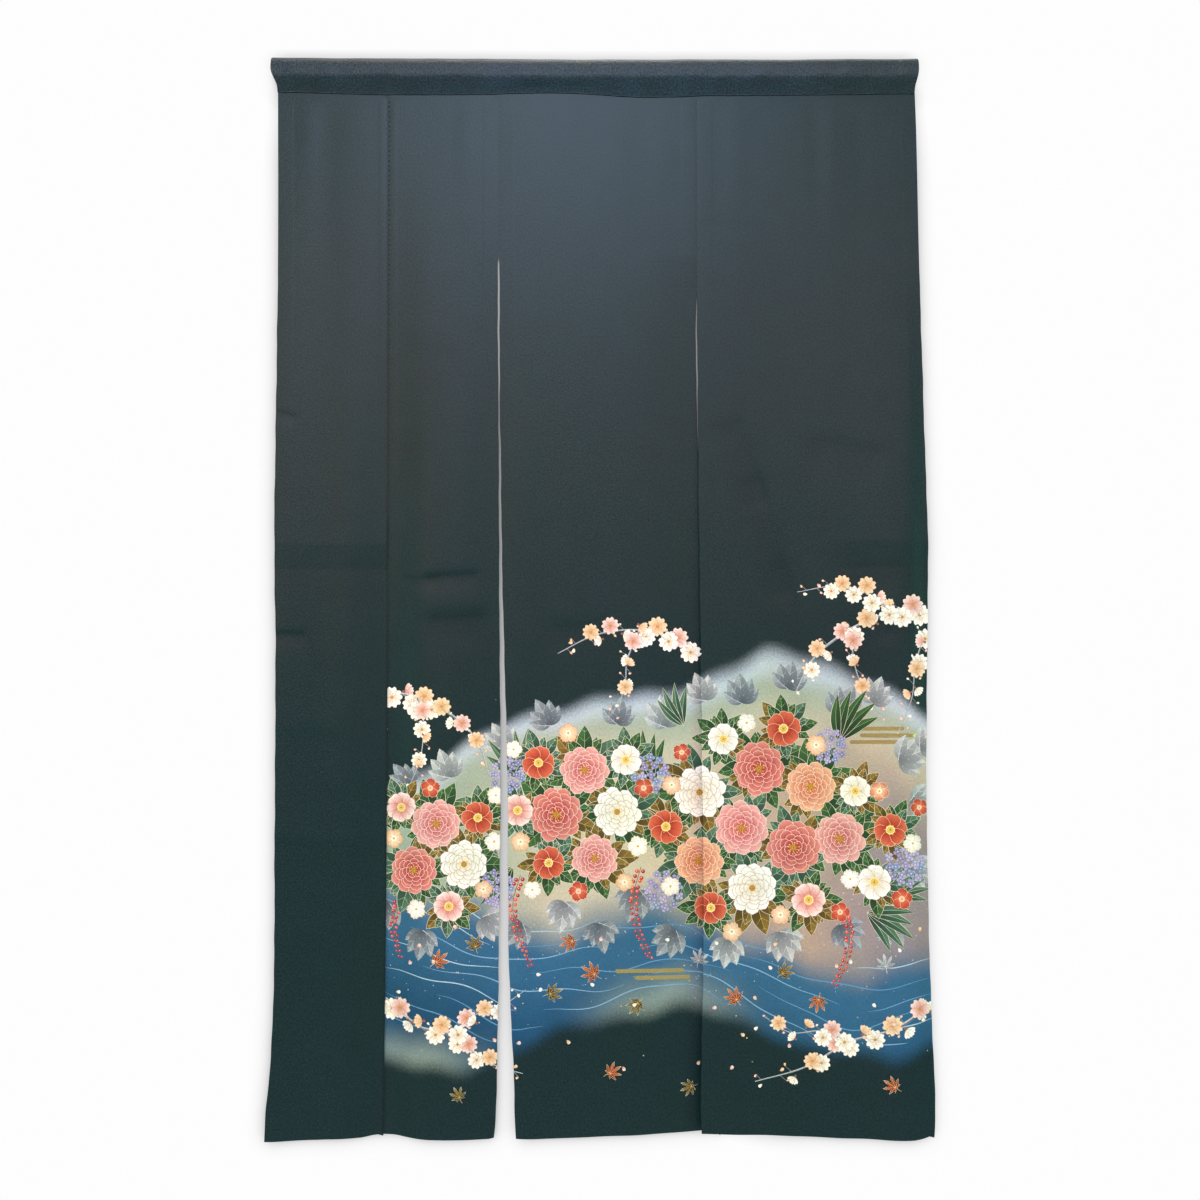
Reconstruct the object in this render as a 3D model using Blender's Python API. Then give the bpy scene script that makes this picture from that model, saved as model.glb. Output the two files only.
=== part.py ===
"""Noren curtain in its hanging shape: a folded heading sleeve and four cloth panels.

Frame: +X to the right seen from the front, the front faces -Y, +Z up. The origin is the middle of
the heading's top edge. Sizes are in millimetres and become metres when the meshes are made.
"""
import math

import bmesh
import bpy

MM = 0.001

# ---- Driving dimensions (mm) ----
SLEEVE_DEPTH = 35.0         # the sleeve from front to back, round the space for a rod
SHOULDER = 17.0             # height of the crest's round shoulder
UPRIGHT = 8.6               # straight part of the sleeve's front and back
LOWER_CORNER = 12.0         # radius of the corner where the front and back turn in
TURN_IN = 37.0              # how far they turn in there (degrees)
HOLLOW = 4.0                # radius of the hollow above the lips
SLEEVE_CLOTH = 1.3          # folded strip of the sleeve
STITCH_LINE = 46.0          # the sleeve closes on the panels this far below the crest
LIP = 6.5                   # the sleeve's lower edges lie this far over the panels
LIP_DIP = 4.0               # and up to this much further where they dip
LIP_ENDS = (-442.4, 445.4)      # left and right end of the lips
SLEEVE_ENDS = (-450.2, 449.4)   # the round part is a little longer: its open ends stand out
END_TAPER = 27.0                # height over which the open ends draw in towards the stitch line
ROUNDING = 12.0                 # height over which the sleeve flattens into the lips
PANEL_CLOTH = 1.4           # crepe with its backing
TURNING = 0.8               # a turned-in edge is this much thicker, behind
SIDE_TURNING = 20.0         # width of the turned-in long edges
SEAM_TURNING = 11.0         # width of the allowance along a seam
FOOT_TURNING = 20.0         # height of the turned-up foot
STEP = 2.0                  # a turning's inner edge slopes over this width
GAP = 0.3                   # between pieces that touch

PANEL_TOP = -STITCH_LINE - 0.5
HANG_START = -STITCH_LINE - LIP - LIP_DIP       # the panels are flat above this height
TURNINGS_START = -60.0      # the turnings are flat inside the sleeve
SLIT_START = -286.0         # the columns are sewn together above this height
FOOT = -1478.0              # mean height of the foot
ROW_SPACING = 36.0
COLUMN_SPACING = 22.0
STATION_SPACING = 37.5      # sections along the sleeve
SHOULDER_STEPS = 8          # facets of the sleeve's round shoulder, lower corner and hollow
CORNER_STEPS = 4
HOLLOW_STEPS = 3

# ---- The long edges of the cloth: (height, x) ----
LEFT_SIDE = (
    (-46, -442.2), (-103, -441.3), (-203, -439.5), (-344, -438.0), (-623, -437.5), (-719, -436.1),
    (-814, -433.2), (-949, -431.3), (-1110, -429.6), (-1242, -427.8), (-1334, -428.8), (-1386, -431.2),
    (-1438, -435.6), (-1480, -437.0),
)
SEAM = ((-46, -288.7), (-344, -286.0), (-760, -283.0), (-1097, -282.0), (-1480, -283.5))
SLIT_1_LEFT = (
    (-46, -134.4), (-280, -133.6), (-290, -134.6), (-456, -133.4), (-497, -132.8), (-622, -131.6),
    (-705, -130.9), (-786, -130.2), (-922, -128.4), (-1030, -127.6), (-1110, -128.1), (-1230, -129.1),
    (-1310, -129.7), (-1389, -130.9), (-1449, -132.0), (-1480, -134.4),
)
SLIT_1_RIGHT = (
    (-46, -134.1), (-280, -133.3), (-290, -132.3), (-456, -131.0), (-497, -130.6), (-553, -129.2),
    (-622, -128.1), (-705, -126.7), (-786, -124.5), (-922, -120.2), (-1030, -117.4), (-1137, -116.4),
    (-1230, -115.5), (-1269, -114.1), (-1309, -112.4), (-1348, -110.1), (-1387, -108.1), (-1427, -107.0),
    (-1466, -105.4), (-1480, -104.4),
)
SLIT_2_BEHIND = (
    (-46, 141.9), (-280, 141.0), (-328, 140.7), (-360, 139.6), (-414, 139.3), (-456, 139.6),
    (-500, 140.7), (-620, 143.4), (-814, 148.0), (-1030, 154.0), (-1296, 162.0), (-1480, 169.0),
)
SLIT_2_FRONT = (
    (-46, 142.2), (-280, 141.3), (-346, 140.9), (-504, 141.5), (-622, 141.9), (-814, 143.8), (-949, 144.8),
    (-1190, 146.2), (-1361, 142.6), (-1427, 141.2), (-1480, 142.6),
)
RIGHT_SIDE = (
    (-46, 445.9), (-103, 447.3), (-273, 448.6), (-413, 451.0), (-552, 453.5), (-676, 455.9),
    (-718, 455.6), (-813, 453.4), (-949, 449.9), (-1030, 448.8), (-1190, 449.6), (-1296, 451.4),
    (-1360, 453.4), (-1442, 455.4), (-1480, 453.8),
)

# ---- The foot of each column: (x, height) ----
FOOT_LEFT = (
    (-436, -1479.4), (-350, -1478.8), (-312, -1478.8), (-296, -1476.6), (-283, -1476.0), (-268, -1476.2),
    (-252, -1477.8), (-190, -1479.8), (-134, -1479.8),
)
FOOT_MIDDLE = (
    (-104, -1477.6), (-85, -1478.0), (-60, -1477.6), (-20, -1475.8), (45, -1473.8), (88, -1472.8),
    (132, -1471.4), (169, -1470.0),
)
FOOT_RIGHT = (
    (142, -1472.0), (219, -1474.4), (300, -1477.4), (372, -1479.2), (420, -1479.8), (436, -1478.4),
    (454, -1474.6),
)

# ---- Unevenness of the sleeve ----
CREST = (                                       # (x, height)
    (-450, 0.0), (-330, -1.2), (-150, -1.8), (0, -3.0), (90, -2.9), (150, -2.4), (270, -3.1),
    (340, -2.2), (398, -2.3), (414, -2.4), (436, -1.9), (450, -1.5),
)
BULGES = ((0.035, 308, 49), (0.020, 107, 0))    # (share of the half depth, wave length, shift along x)
LIP_EDGE = (                                    # (x, how far the lips' lower edges are raised)
    (-450, 3.2), (-420, 3.4), (-393, 2.6), (-366, 1.8), (-339, 1.0), (-300, 0.0), (-203, 0.0),
    (-149, 0.5), (-110, 1.9), (-68, 2.6), (-30, 1.9), (10, -0.6), (41, -2.7), (68, -3.6), (122, -2.9),
    (155, -1.3), (204, -1.1), (285, -0.5), (367, 0.3), (421, 1.2), (450, 1.3),
)

# ---- Hanging waves. Each grows from its start height to its full depth at the foot, + to the back ----
# (x at the top, x at the foot, half width, depth at the foot, start height, growth power)
WAVES = (
    (-436, -436, 78, -12.0, -60, 1.1),      # fore edge of the left side
    (-288, -283, 60, 20.0, -120, 1.4),      # valley at the seam
    (-215, -205, 58, -3.5, -180, 1.0),      # crown beside it
    (-60, -30, 120, -2.5, -150, 1.0),       # flat crown of the middle column
    (255, 262, 90, 4.0, -150, 1.0),         # shallow valley of the right column
    (400, 412, 62, -9.0, -200, 1.3),        # fold near the right side
)
# ---- Edges that part from their neighbour below the slits: (x at the foot, reach, depth at the foot) ----
LAP_LEFT_OF_SLIT_1 = (-130, 56, 8.0)
LAP_MIDDLE_LEFT = (-104, 46, -3.0)
LAP_MIDDLE_RIGHT = (168, 128, 18.0)
LAP_RIGHT_LEFT = (142, 70, -1.5)
CORNER_CURL = (456, 30, 8.0)
LEAN = ((-440, 2.0), (-134, 4.0), (0, 4.0), (140, 6.0), (300, 8.0), (450, 7.0))     # (x, depth at the foot)

# ---- Short puckers under the heading: (x, half width, depth, reach down) ----
PUCKERS = (
    (-401, 22, -1.3, 48), (-372, 26, 1.2, 70), (-330, 34, -1.0, 60), (-177, 24, -1.7, 55),
    (-133, 26, 1.6, 80), (-60, 60, -1.4, 46), (62, 36, 1.2, 60), (196, 24, -1.2, 60), (306, 16, 1.4, 66),
    (331, 18, -1.2, 50), (368, 20, 1.3, 66), (420, 26, -1.0, 50),
)

# ---- Colours ----
BLACK_GREEN = (0.020, 0.037, 0.045, 1.0)
HEADING_COLOUR = (0.024, 0.038, 0.046, 1.0)
CLOTH_ROUGHNESS = 0.75


def read_rows(rows, position):
    """Value at a position of a table of (position, value) rows, on a smooth curve that stays within them."""
    rows = sorted(rows)
    if position <= rows[0][0]:
        return rows[0][1]
    if position >= rows[-1][0]:
        return rows[-1][1]
    span = next(i for i in range(len(rows) - 1) if position <= rows[i + 1][0])

    def rise_over(i):
        return (rows[i + 1][1] - rows[i][1]) / (rows[i + 1][0] - rows[i][0])

    def slope(i):
        before = rise_over(max(i - 1, 0))
        after = rise_over(min(i, len(rows) - 2))
        return 2 * before * after / (before + after) if before * after > 0 else 0.0

    start, end = rows[span], rows[span + 1]
    width = end[0] - start[0]
    t = (position - start[0]) / width
    ease = t * t * (3 - 2 * t)
    return (
        start[1] * (1 - ease) + end[1] * ease
        + width * slope(span) * t * (1 - t) ** 2
        - width * slope(span + 1) * t * t * (1 - t)
    )


def bell(t):
    """Soft hump: 1 at 0, falling to 0 at -1 and 1."""
    if abs(t) >= 1:
        return 0.0
    return 0.5 + 0.5 * math.cos(math.pi * t)


def grown(height, start, power):
    """Share of its full depth that a wave has at a height, from 0 at its start to 1 at the foot."""
    share = (start - height) / (start - FOOT)
    return max(share, 0.0) ** power


def hang_depth(x, z):
    """Depth of the hanging cloth that all panels share, + to the back."""
    down = max(HANG_START - z, 0.0)
    depth = read_rows(LEAN, x) * grown(z, HANG_START, 1.0)
    for x_top, x_foot, half_width, full, start, power in WAVES:
        centre = x_top + (x_foot - x_top) * z / FOOT
        depth += full * grown(z, start, power) * bell((x - centre) / half_width)
    for centre, half_width, full, reach in PUCKERS:
        fade = down / reach
        depth += full * fade * math.exp(1 - fade) * bell((x - centre) / half_width)
    return depth


def edge_depth(lap, x, z):
    """Extra depth of a free edge, growing from the start of the slits to the foot."""
    centre, reach, full = lap
    return full * grown(z, SLIT_START, 0.8) * bell((x - centre) / reach)


def spaced(start, end, spacing):
    """Even positions from start to end, both ends in, no further apart than the spacing."""
    count = max(1, math.ceil(abs(end - start) / spacing))
    return [start + (end - start) * i / count for i in range(count + 1)]


def column_places(width, left_turning, right_turning):
    """Distances across a panel: its edges, both lines of each turning's step, and even columns between."""
    inner = spaced(left_turning + STEP, width - right_turning - STEP, COLUMN_SPACING)
    return [0.0, left_turning] + inner + [width - right_turning, width]


def closed_between(name, outer, inner, colour):
    """One closed body between two grids of points, outer and inner, of the same size."""
    mesh = bmesh.new()
    rows = len(outer)
    columns = len(outer[0])
    front = [[mesh.verts.new([c * MM for c in p]) for p in row] for row in outer]
    back = [[mesh.verts.new([c * MM for c in p]) for p in row] for row in inner]
    for r in range(rows - 1):
        for c in range(columns - 1):
            mesh.faces.new((front[r][c], front[r + 1][c], front[r + 1][c + 1], front[r][c + 1]))
            mesh.faces.new((back[r][c], back[r][c + 1], back[r + 1][c + 1], back[r + 1][c]))
    rim = [(0, c) for c in range(columns)]
    rim += [(r, columns - 1) for r in range(1, rows)]
    rim += [(rows - 1, c) for c in range(columns - 2, -1, -1)]
    rim += [(r, 0) for r in range(rows - 2, 0, -1)]
    for (r0, c0), (r1, c1) in zip(rim, rim[1:] + rim[:1]):
        mesh.faces.new((front[r0][c0], front[r1][c1], back[r1][c1], back[r0][c0]))
    bmesh.ops.recalc_face_normals(mesh, faces=mesh.faces)
    bmesh.ops.triangulate(mesh, faces=mesh.faces)
    data = bpy.data.meshes.new(name)
    mesh.to_mesh(data)
    mesh.free()
    data.shade_smooth()
    data.set_sharp_from_angle(angle=math.radians(40))
    data.materials.append(cloth_material(name, colour))
    body = bpy.data.objects.new(name, data)
    bpy.context.scene.collection.objects.link(body)
    return body


def cloth_material(name, colour):
    """Plain Principled cloth in one colour."""
    material = bpy.data.materials.new(name)
    material.use_nodes = True
    shader = material.node_tree.nodes["Principled BSDF"]
    shader.inputs["Base Color"].default_value = colour
    shader.inputs["Roughness"].default_value = CLOTH_ROUGHNESS
    shader.inputs["Metallic"].default_value = 0.0
    material.diffuse_color = colour
    return material


def panel(name, left_edge, right_edge, foot, turnings, laps):
    """A hanging sheet between two long edges, thicker behind along its turned-in edges."""
    top_width = read_rows(right_edge, PANEL_TOP) - read_rows(left_edge, PANEL_TOP)
    places = column_places(top_width, *turnings)
    shares = [place / top_width for place in places]
    hanging = spaced(HANG_START, FOOT + FOOT_TURNING + STEP, ROW_SPACING)
    heights = [PANEL_TOP] + hanging + [FOOT + FOOT_TURNING, FOOT]
    front, back = [], []
    for height in heights:
        front_row, back_row = [], []
        for share in shares:
            left = read_rows(left_edge, height)
            right = read_rows(right_edge, height)
            x = left + share * (right - left)
            drop = (height - PANEL_TOP) / (FOOT - PANEL_TOP)
            z = height + (read_rows(foot, x) - FOOT) * drop ** 3
            y = hang_depth(x, z) + sum(edge_depth(lap, x, z) for lap in laps)
            turned = share <= turnings[0] / top_width or share >= 1 - turnings[1] / top_width - 1e-9
            turned = turned or height <= FOOT + FOOT_TURNING
            extra = TURNING if turned and height < TURNINGS_START else 0.0
            front_row.append((x, y - PANEL_CLOTH / 2, z))
            back_row.append((x, y + PANEL_CLOTH / 2 + extra, z))
        front.append(front_row)
        back.append(back_row)
    return closed_between(name, front, back, BLACK_GREEN)


def sleeve_profile():
    """Front half of the sleeve's section, crest first: (forward, height, normal forward, normal up)."""
    belly = SLEEVE_DEPTH / 2
    turn_in = math.radians(TURN_IN)
    lip_face = PANEL_CLOTH / 2 + GAP + SLEEVE_CLOTH
    points = []
    for i in range(SHOULDER_STEPS + 1):
        a = math.radians(90) * i / SHOULDER_STEPS
        points.append((belly * math.sin(a), SHOULDER * (math.cos(a) - 1), math.sin(a), math.cos(a)))
    for i in range(CORNER_STEPS + 1):
        a = turn_in * i / CORNER_STEPS
        forward = belly - LOWER_CORNER * (1 - math.cos(a))
        points.append((forward, -SHOULDER - UPRIGHT - LOWER_CORNER * math.sin(a), math.cos(a), -math.sin(a)))
    hollow_centre = lip_face + HOLLOW
    slant = points[-1][0] - (hollow_centre - HOLLOW * math.cos(turn_in))
    hollow_top = points[-1][1] - slant / math.tan(turn_in)
    for i in range(HOLLOW_STEPS + 1):
        a = turn_in * (1 - i / HOLLOW_STEPS)
        height = hollow_top - HOLLOW * (math.sin(turn_in) - math.sin(a))
        points.append((hollow_centre - HOLLOW * math.cos(a), height, math.cos(a), -math.sin(a)))
    points.append((lip_face, -STITCH_LINE - LIP, 1.0, 0.0))
    return points


def sleeve(name):
    """The heading: one folded strip round the space for a rod, its two lips over the panels' tops."""
    profile = sleeve_profile()
    section = [(-y, z, -ny, nz) for y, z, ny, nz in reversed(profile)] + profile[1:]
    stations = spaced(0.0, 1.0, STATION_SPACING / (SLEEVE_ENDS[1] - SLEEVE_ENDS[0]))
    outer, inner = [], []
    for forward, height, normal_forward, normal_up in section:
        outer_row, inner_row = [], []
        roundness = min(1.0, max(0.0, (STITCH_LINE + height) / ROUNDING))     # 0 on the lips
        openness = min(1.0, max(0.0, (STITCH_LINE + height) / END_TAPER))
        openness = openness * openness * (3 - 2 * openness)
        left = LIP_ENDS[0] + openness * (SLEEVE_ENDS[0] - LIP_ENDS[0])
        right = LIP_ENDS[1] + openness * (SLEEVE_ENDS[1] - LIP_ENDS[1])
        for station in stations:
            x = left + station * (right - left)
            bulge = sum(share * math.sin(math.tau * (x + shift) / length) for share, length, shift in BULGES)
            y = -forward * (1 + roundness * bulge)
            z = height + roundness * read_rows(CREST, x)
            z += (1 - roundness) * read_rows(LIP_EDGE, x)
            outer_row.append((x, y, z))
            inner_row.append((x, y + normal_forward * SLEEVE_CLOTH, z - normal_up * SLEEVE_CLOTH))
        outer.append(outer_row)
        inner.append(inner_row)
    return closed_between(name, outer, inner, HEADING_COLOUR)


def main():
    """Clear the scene and model every piece."""
    for old in list(bpy.data.objects):
        bpy.data.objects.remove(old)
    sleeve("heading_sleeve")
    panel("panel_outer_left", LEFT_SIDE, [(z, x - GAP / 2) for z, x in SEAM], FOOT_LEFT,
          (SIDE_TURNING, SEAM_TURNING), ())
    panel("panel_inner_left", [(z, x + GAP / 2) for z, x in SEAM], SLIT_1_LEFT, FOOT_LEFT,
          (SEAM_TURNING, SIDE_TURNING), (LAP_LEFT_OF_SLIT_1,))
    panel("panel_middle", SLIT_1_RIGHT, SLIT_2_BEHIND, FOOT_MIDDLE,
          (SIDE_TURNING, SIDE_TURNING), (LAP_MIDDLE_LEFT, LAP_MIDDLE_RIGHT))
    panel("panel_right", SLIT_2_FRONT, RIGHT_SIDE, FOOT_RIGHT,
          (SIDE_TURNING, SIDE_TURNING), (LAP_RIGHT_LEFT, CORNER_CURL))


main()
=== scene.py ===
"""Noren curtain: crepe cloth with a generic flower painting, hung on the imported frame."""

import math
import random

import bpy
import numpy as np
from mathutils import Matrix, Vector
from mathutils.geometry import delaunay_2d_cdt


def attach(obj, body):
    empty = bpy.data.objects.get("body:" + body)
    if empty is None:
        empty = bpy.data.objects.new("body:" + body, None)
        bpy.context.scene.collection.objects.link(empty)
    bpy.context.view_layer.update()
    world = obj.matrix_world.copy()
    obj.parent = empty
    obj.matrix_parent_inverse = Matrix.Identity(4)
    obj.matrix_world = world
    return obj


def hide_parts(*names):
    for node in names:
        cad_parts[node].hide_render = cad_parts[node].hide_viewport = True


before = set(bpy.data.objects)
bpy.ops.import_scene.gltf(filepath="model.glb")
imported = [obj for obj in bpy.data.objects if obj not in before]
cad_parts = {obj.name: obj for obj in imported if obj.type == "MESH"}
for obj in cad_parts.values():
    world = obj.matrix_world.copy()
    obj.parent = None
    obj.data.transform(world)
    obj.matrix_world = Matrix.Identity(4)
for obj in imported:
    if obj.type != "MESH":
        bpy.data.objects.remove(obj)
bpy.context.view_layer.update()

MM = 0.001
ROOT = "root"

# ---- 1. Sizes (mm). +X to the right seen from the front, the front faces -Y, +Z up, origin at the crest.
PANEL_CLOTH = 1.2           # inside the solids' 1.4
TURNING = 0.8               # a turned-in edge is this much thicker, behind
SIDE_TURNING = 20.0
SEAM_TURNING = 11.0
FOOT_TURNING = 20.0
TURNING_STEP = 2.6          # a turning's inner edge slopes over this width
TURNING_SHOWS = 0.07        # how far a turning stands proud on the front
GROOVE_WIDTH = 1.7          # a sewn edge draws back over this width
GROOVE_END = 12.0           # a groove runs out over this height at its lower end
EDGE_ROUND = 0.45           # a free folded edge is rounded by this much
EDGE_SHAKES = ((0.25, 19.0, 0.0), (0.18, 7.3, 1.0))     # (size, length, shift) of its unevenness
SEWN_REACH = 0.13           # a sewn edge reaches this far into its gap, nearly to its neighbour
STITCH_LINE = 46.0          # the strip is sewn shut this far below its crest
LIP = 6.5                   # and its lips hang below the stitches
HANG_START = -56.5          # the cloth is straight above this height
PANEL_TOP = -46.5
TURNINGS_START = -62.0
SLIT_START = -286.0
FOOT = -1478.0
SEAM_GAP = 0.3

# Long edges of the cloth: (height, x)
LEFT_SIDE = (
    (-46, -442.2), (-103, -441.3), (-203, -439.5), (-344, -438.0), (-623, -437.5), (-719, -436.1),
    (-814, -433.2), (-949, -431.3), (-1110, -429.6), (-1242, -427.8), (-1334, -428.8), (-1386, -431.2),
    (-1438, -435.6), (-1480, -437.0),
)
SEAM = ((-46, -288.7), (-344, -286.0), (-760, -283.0), (-1097, -282.0), (-1480, -283.5))
SLIT_1_LEFT = (
    (-46, -134.4), (-280, -133.6), (-290, -134.6), (-456, -133.4), (-497, -132.8), (-622, -131.6),
    (-705, -130.9), (-786, -130.2), (-922, -128.4), (-1030, -127.6), (-1110, -128.1), (-1230, -129.1),
    (-1310, -129.7), (-1389, -130.9), (-1449, -132.0), (-1480, -134.4),
)
SLIT_1_RIGHT = (
    (-46, -134.1), (-280, -133.3), (-290, -132.3), (-456, -131.0), (-497, -130.6), (-553, -129.2),
    (-622, -128.1), (-705, -126.7), (-786, -124.5), (-922, -120.2), (-1030, -117.4), (-1137, -116.4),
    (-1230, -115.5), (-1269, -114.1), (-1309, -112.4), (-1348, -110.1), (-1387, -108.1), (-1427, -107.0),
    (-1466, -105.4), (-1480, -104.4),
)
SLIT_2_BEHIND = (
    (-46, 141.9), (-280, 141.0), (-328, 140.7), (-360, 139.6), (-414, 139.3), (-456, 139.6),
    (-500, 140.7), (-620, 143.4), (-814, 148.0), (-1030, 154.0), (-1296, 162.0), (-1480, 169.0),
)
SLIT_2_FRONT = (
    (-46, 142.2), (-280, 141.3), (-346, 140.9), (-504, 141.5), (-622, 141.9), (-814, 143.8), (-949, 144.8),
    (-1190, 146.2), (-1361, 142.6), (-1427, 141.2), (-1480, 142.6),
)
RIGHT_SIDE = (
    (-46, 445.9), (-103, 447.3), (-273, 448.6), (-413, 451.0), (-552, 453.5), (-676, 455.9),
    (-718, 455.6), (-813, 453.4), (-949, 449.9), (-1030, 448.8), (-1190, 449.6), (-1296, 451.4),
    (-1360, 453.4), (-1442, 455.4), (-1480, 453.8),
)

# The foot of each column: (x, height)
FOOT_LEFT = (
    (-436, -1479.4), (-350, -1478.8), (-312, -1478.8), (-296, -1476.6), (-283, -1476.0), (-268, -1476.2),
    (-252, -1477.8), (-190, -1479.8), (-134, -1479.8),
)
FOOT_MIDDLE = (
    (-104, -1477.6), (-85, -1478.0), (-60, -1477.6), (-20, -1475.8), (45, -1473.8), (88, -1472.8),
    (132, -1471.4), (169, -1470.0),
)
FOOT_RIGHT = (
    (142, -1472.0), (219, -1474.4), (300, -1477.4), (372, -1479.2), (420, -1479.8), (436, -1478.4),
    (454, -1474.6),
)

# Hanging waves: (x at the top, x at the foot, half width, depth at the foot, start height, growth power)
WAVES = (
    (-436, -436, 78, -12.0, -60, 1.1),
    (-288, -283, 60, 20.0, -120, 1.4),
    (-215, -205, 58, -3.5, -180, 1.0),
    (-60, -30, 120, -2.5, -150, 1.0),
    (255, 262, 90, 4.0, -150, 1.0),
    (400, 412, 62, -9.0, -200, 1.3),
)
# Free edges that part from their neighbour below the slits: (x at the foot, reach, depth at the foot)
LAP_LEFT_OF_SLIT_1 = (-130, 56, 8.0)
LAP_MIDDLE_LEFT = (-104, 46, -3.0)
LAP_MIDDLE_RIGHT = (168, 128, 18.0)
LAP_RIGHT_LEFT = (142, 70, -1.5)
CORNER_CURL = (456, 30, 8.0)
LEAN = ((-440, 2.0), (-134, 4.0), (0, 4.0), (140, 6.0), (300, 8.0), (450, 7.0))
# Short puckers under the heading: (x, half width, depth, reach down)
PUCKERS = (
    (-401, 22, -0.3, 48), (-372, 26, 0.3, 70), (-330, 34, -0.2, 60), (-177, 24, -0.4, 55),
    (-133, 26, 0.4, 80), (-60, 60, -0.4, 46), (62, 36, 0.3, 60), (196, 24, -0.2, 60), (306, 16, 0.2, 66),
    (331, 18, -0.2, 50), (368, 20, 0.2, 66), (420, 26, -0.2, 50),
)

# Pressed creases: (from x, from height, to x, to height, half width, depth); + is a trough, - a ridge
CREASES = (
    (-258, -731, -222, -731, 5, 0.5), (-224, -730, -168, -726, 7, 1.2), (-216, -790, -162, -786, 14, 1.5),
    (-434, -808, -400, -808, 6, 1.1),
    (-434, -928, -346, -930, 14, -0.5), (-434, -1080, -296, -1082, 6, -0.35),
    (-434, -1092, -290, -1094, 8, 0.35), (-434, -1212, -346, -1214, 9, -0.5),
    (-434, -1226, -352, -1227, 7, 0.3), (-434, -1356, -290, -1358, 10, -0.45),
    (-438, -501, -416, -507, 5, 0.6),
    (196, -520, 228, -620, 11, 0.8), (222, -600, 262, -745, 11, 0.8), (256, -720, 278, -850, 13, 0.5),
    (312, -545, 380, -559, 14, 0.7), (392, -788, 400, -802, 9, 0.9), (392, -760, 400, -764, 9, -0.5),
    (-50, -800, 12, -802, 12, 0.7), (-222, -426, -246, -590, 22, 0.5),
    (154, -237, 238, -238, 4, 0.12), (270, -900, 250, -980, 22, 0.8), (380, -820, 352, -960, 24, 0.8),
)
EASED_SIDE = 2.6            # the side of a crease that faces up runs out over this many half widths
CREASE_POINTS = (-1.6, -1.0, -0.5, 0.0, 0.5, 1.0, 1.6)      # half widths across it with mesh points
GROOVE_POINTS = (0.9, 1.9, 3.2)                             # mm into the cloth, the same for a groove
# Bands pressed by folding: (left x, right x, upper height, lower height, depth, fade below, solid side)
BANDS = (
    (-450, -283, -682, -717, 1.5, 90, 0),
    (300, 470, -678, -714, 2.0, 110, 1),
)

# Grooves of the sewn edges: (depth, height of the lower end)
SEAM_GROOVE = (0.8, -1600.0)
SLIT_1_GROOVE = (0.2, -284.0)
SLIT_2_GROOVE = (0.25, -330.0)

# The sleeve
SLEEVE_DEPTH = 35.0
SHOULDER = 17.0
UPRIGHT = 8.6
LOWER_CORNER = 12.0
TURN_IN = 34.0
HOLLOW = 1.5                # radius of the bend above the stitches
SLEEVE_CLOTH = 1.3
LIP_ENDS = (-442.4, 445.4)
SLEEVE_ENDS = (-450.2, 449.4)
END_TAPER = 27.0            # the ends widen from the lips' to the sleeve's over this height
END_CORNER = 3.0            # the end edges are cut back this much at the crest
END_CORNER_REACH = 4.5
ROUNDING = 12.0             # the lips' own edge gives way to the crest's over this height
SOLID_CLOTH = 1.4
HEADING_DYE = (25, 47, 58)  # at the middle of the strip
# The strip's colour turns darker and less blue towards its ends
HEADING_TONE_AT_ENDS = (24, 43, 50)
CREST = (
    (-450, 0.0), (-330, -1.2), (-150, -1.8), (0, -3.0), (90, -2.9), (150, -2.4), (270, -3.1),
    (340, -2.2), (398, -2.3), (414, -2.4), (436, -1.9), (450, -1.5),
)
BULGES = ((0.035, 308, 49), (0.020, 107, 0))      # (share of the depth, wavelength, shift)
LIP_EDGE = (
    (-450, 3.2), (-420, 3.4), (-393, 2.6), (-366, 1.8), (-339, 1.0), (-300, 0.0), (-203, 0.0),
    (-149, 0.5), (-110, 1.9), (-68, 2.6), (-30, 1.9), (10, -0.6), (41, -2.7), (68, -3.6), (122, -2.9),
    (155, -1.3), (204, -1.1), (285, -0.5), (367, 0.3), (421, 1.2), (450, 1.3),
)
STATION_SPACING = 5.0

# Mesh spacing
PLAIN_SPACING = 9.0
PAINTED_SPACING = 6.0
EDGE_SPACING = 7.0
BACK_SPACING = 6.5
PAINTED_FROM = -760.0
BACK_SHOWS = 0.26           # share of the painting that shows on the back
BLUR = 5.0                  # and how far its colours run together there

# Photograph: 1200 x 1200, its camera worked out from the heading, the foot and the narrowing to the top
CAMERA_PLACE = (0.007, -2.40, -0.960)
CAMERA_PITCH = 4.78         # degrees up
LENS = 53.07
SENSOR = 36


# ---- 2. How the cloth hangs
class Curve:
    """Smooth curve through (position, value) rows that never overshoots them."""

    def __init__(self, rows):
        rows = sorted(rows)
        self.at = np.array([r[0] for r in rows], float)
        self.value = np.array([r[1] for r in rows], float)
        rise = np.diff(self.value) / np.diff(self.at)
        before = np.concatenate([rise[:1], rise])
        after = np.concatenate([rise, rise[-1:]])
        turns = before * after <= 0
        total = np.where(turns, 1.0, before + after)
        self.slope = np.where(turns, 0.0, 2 * before * after / total)

    def __call__(self, position):
        p = np.clip(np.asarray(position, float), self.at[0], self.at[-1])
        i = np.clip(np.searchsorted(self.at, p) - 1, 0, len(self.at) - 2)
        width = self.at[i + 1] - self.at[i]
        t = (p - self.at[i]) / width
        ease = t * t * (3 - 2 * t)
        bend = self.slope[i] * t * (1 - t) ** 2 - self.slope[i + 1] * t * t * (1 - t)
        return self.value[i] * (1 - ease) + self.value[i + 1] * ease + width * bend


def bell(t):
    """Soft hump: 1 at 0, falling to 0 at -1 and 1."""
    return np.where(np.abs(t) < 1, 0.5 + 0.5 * np.cos(np.pi * np.clip(t, -1, 1)), 0.0)


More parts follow.
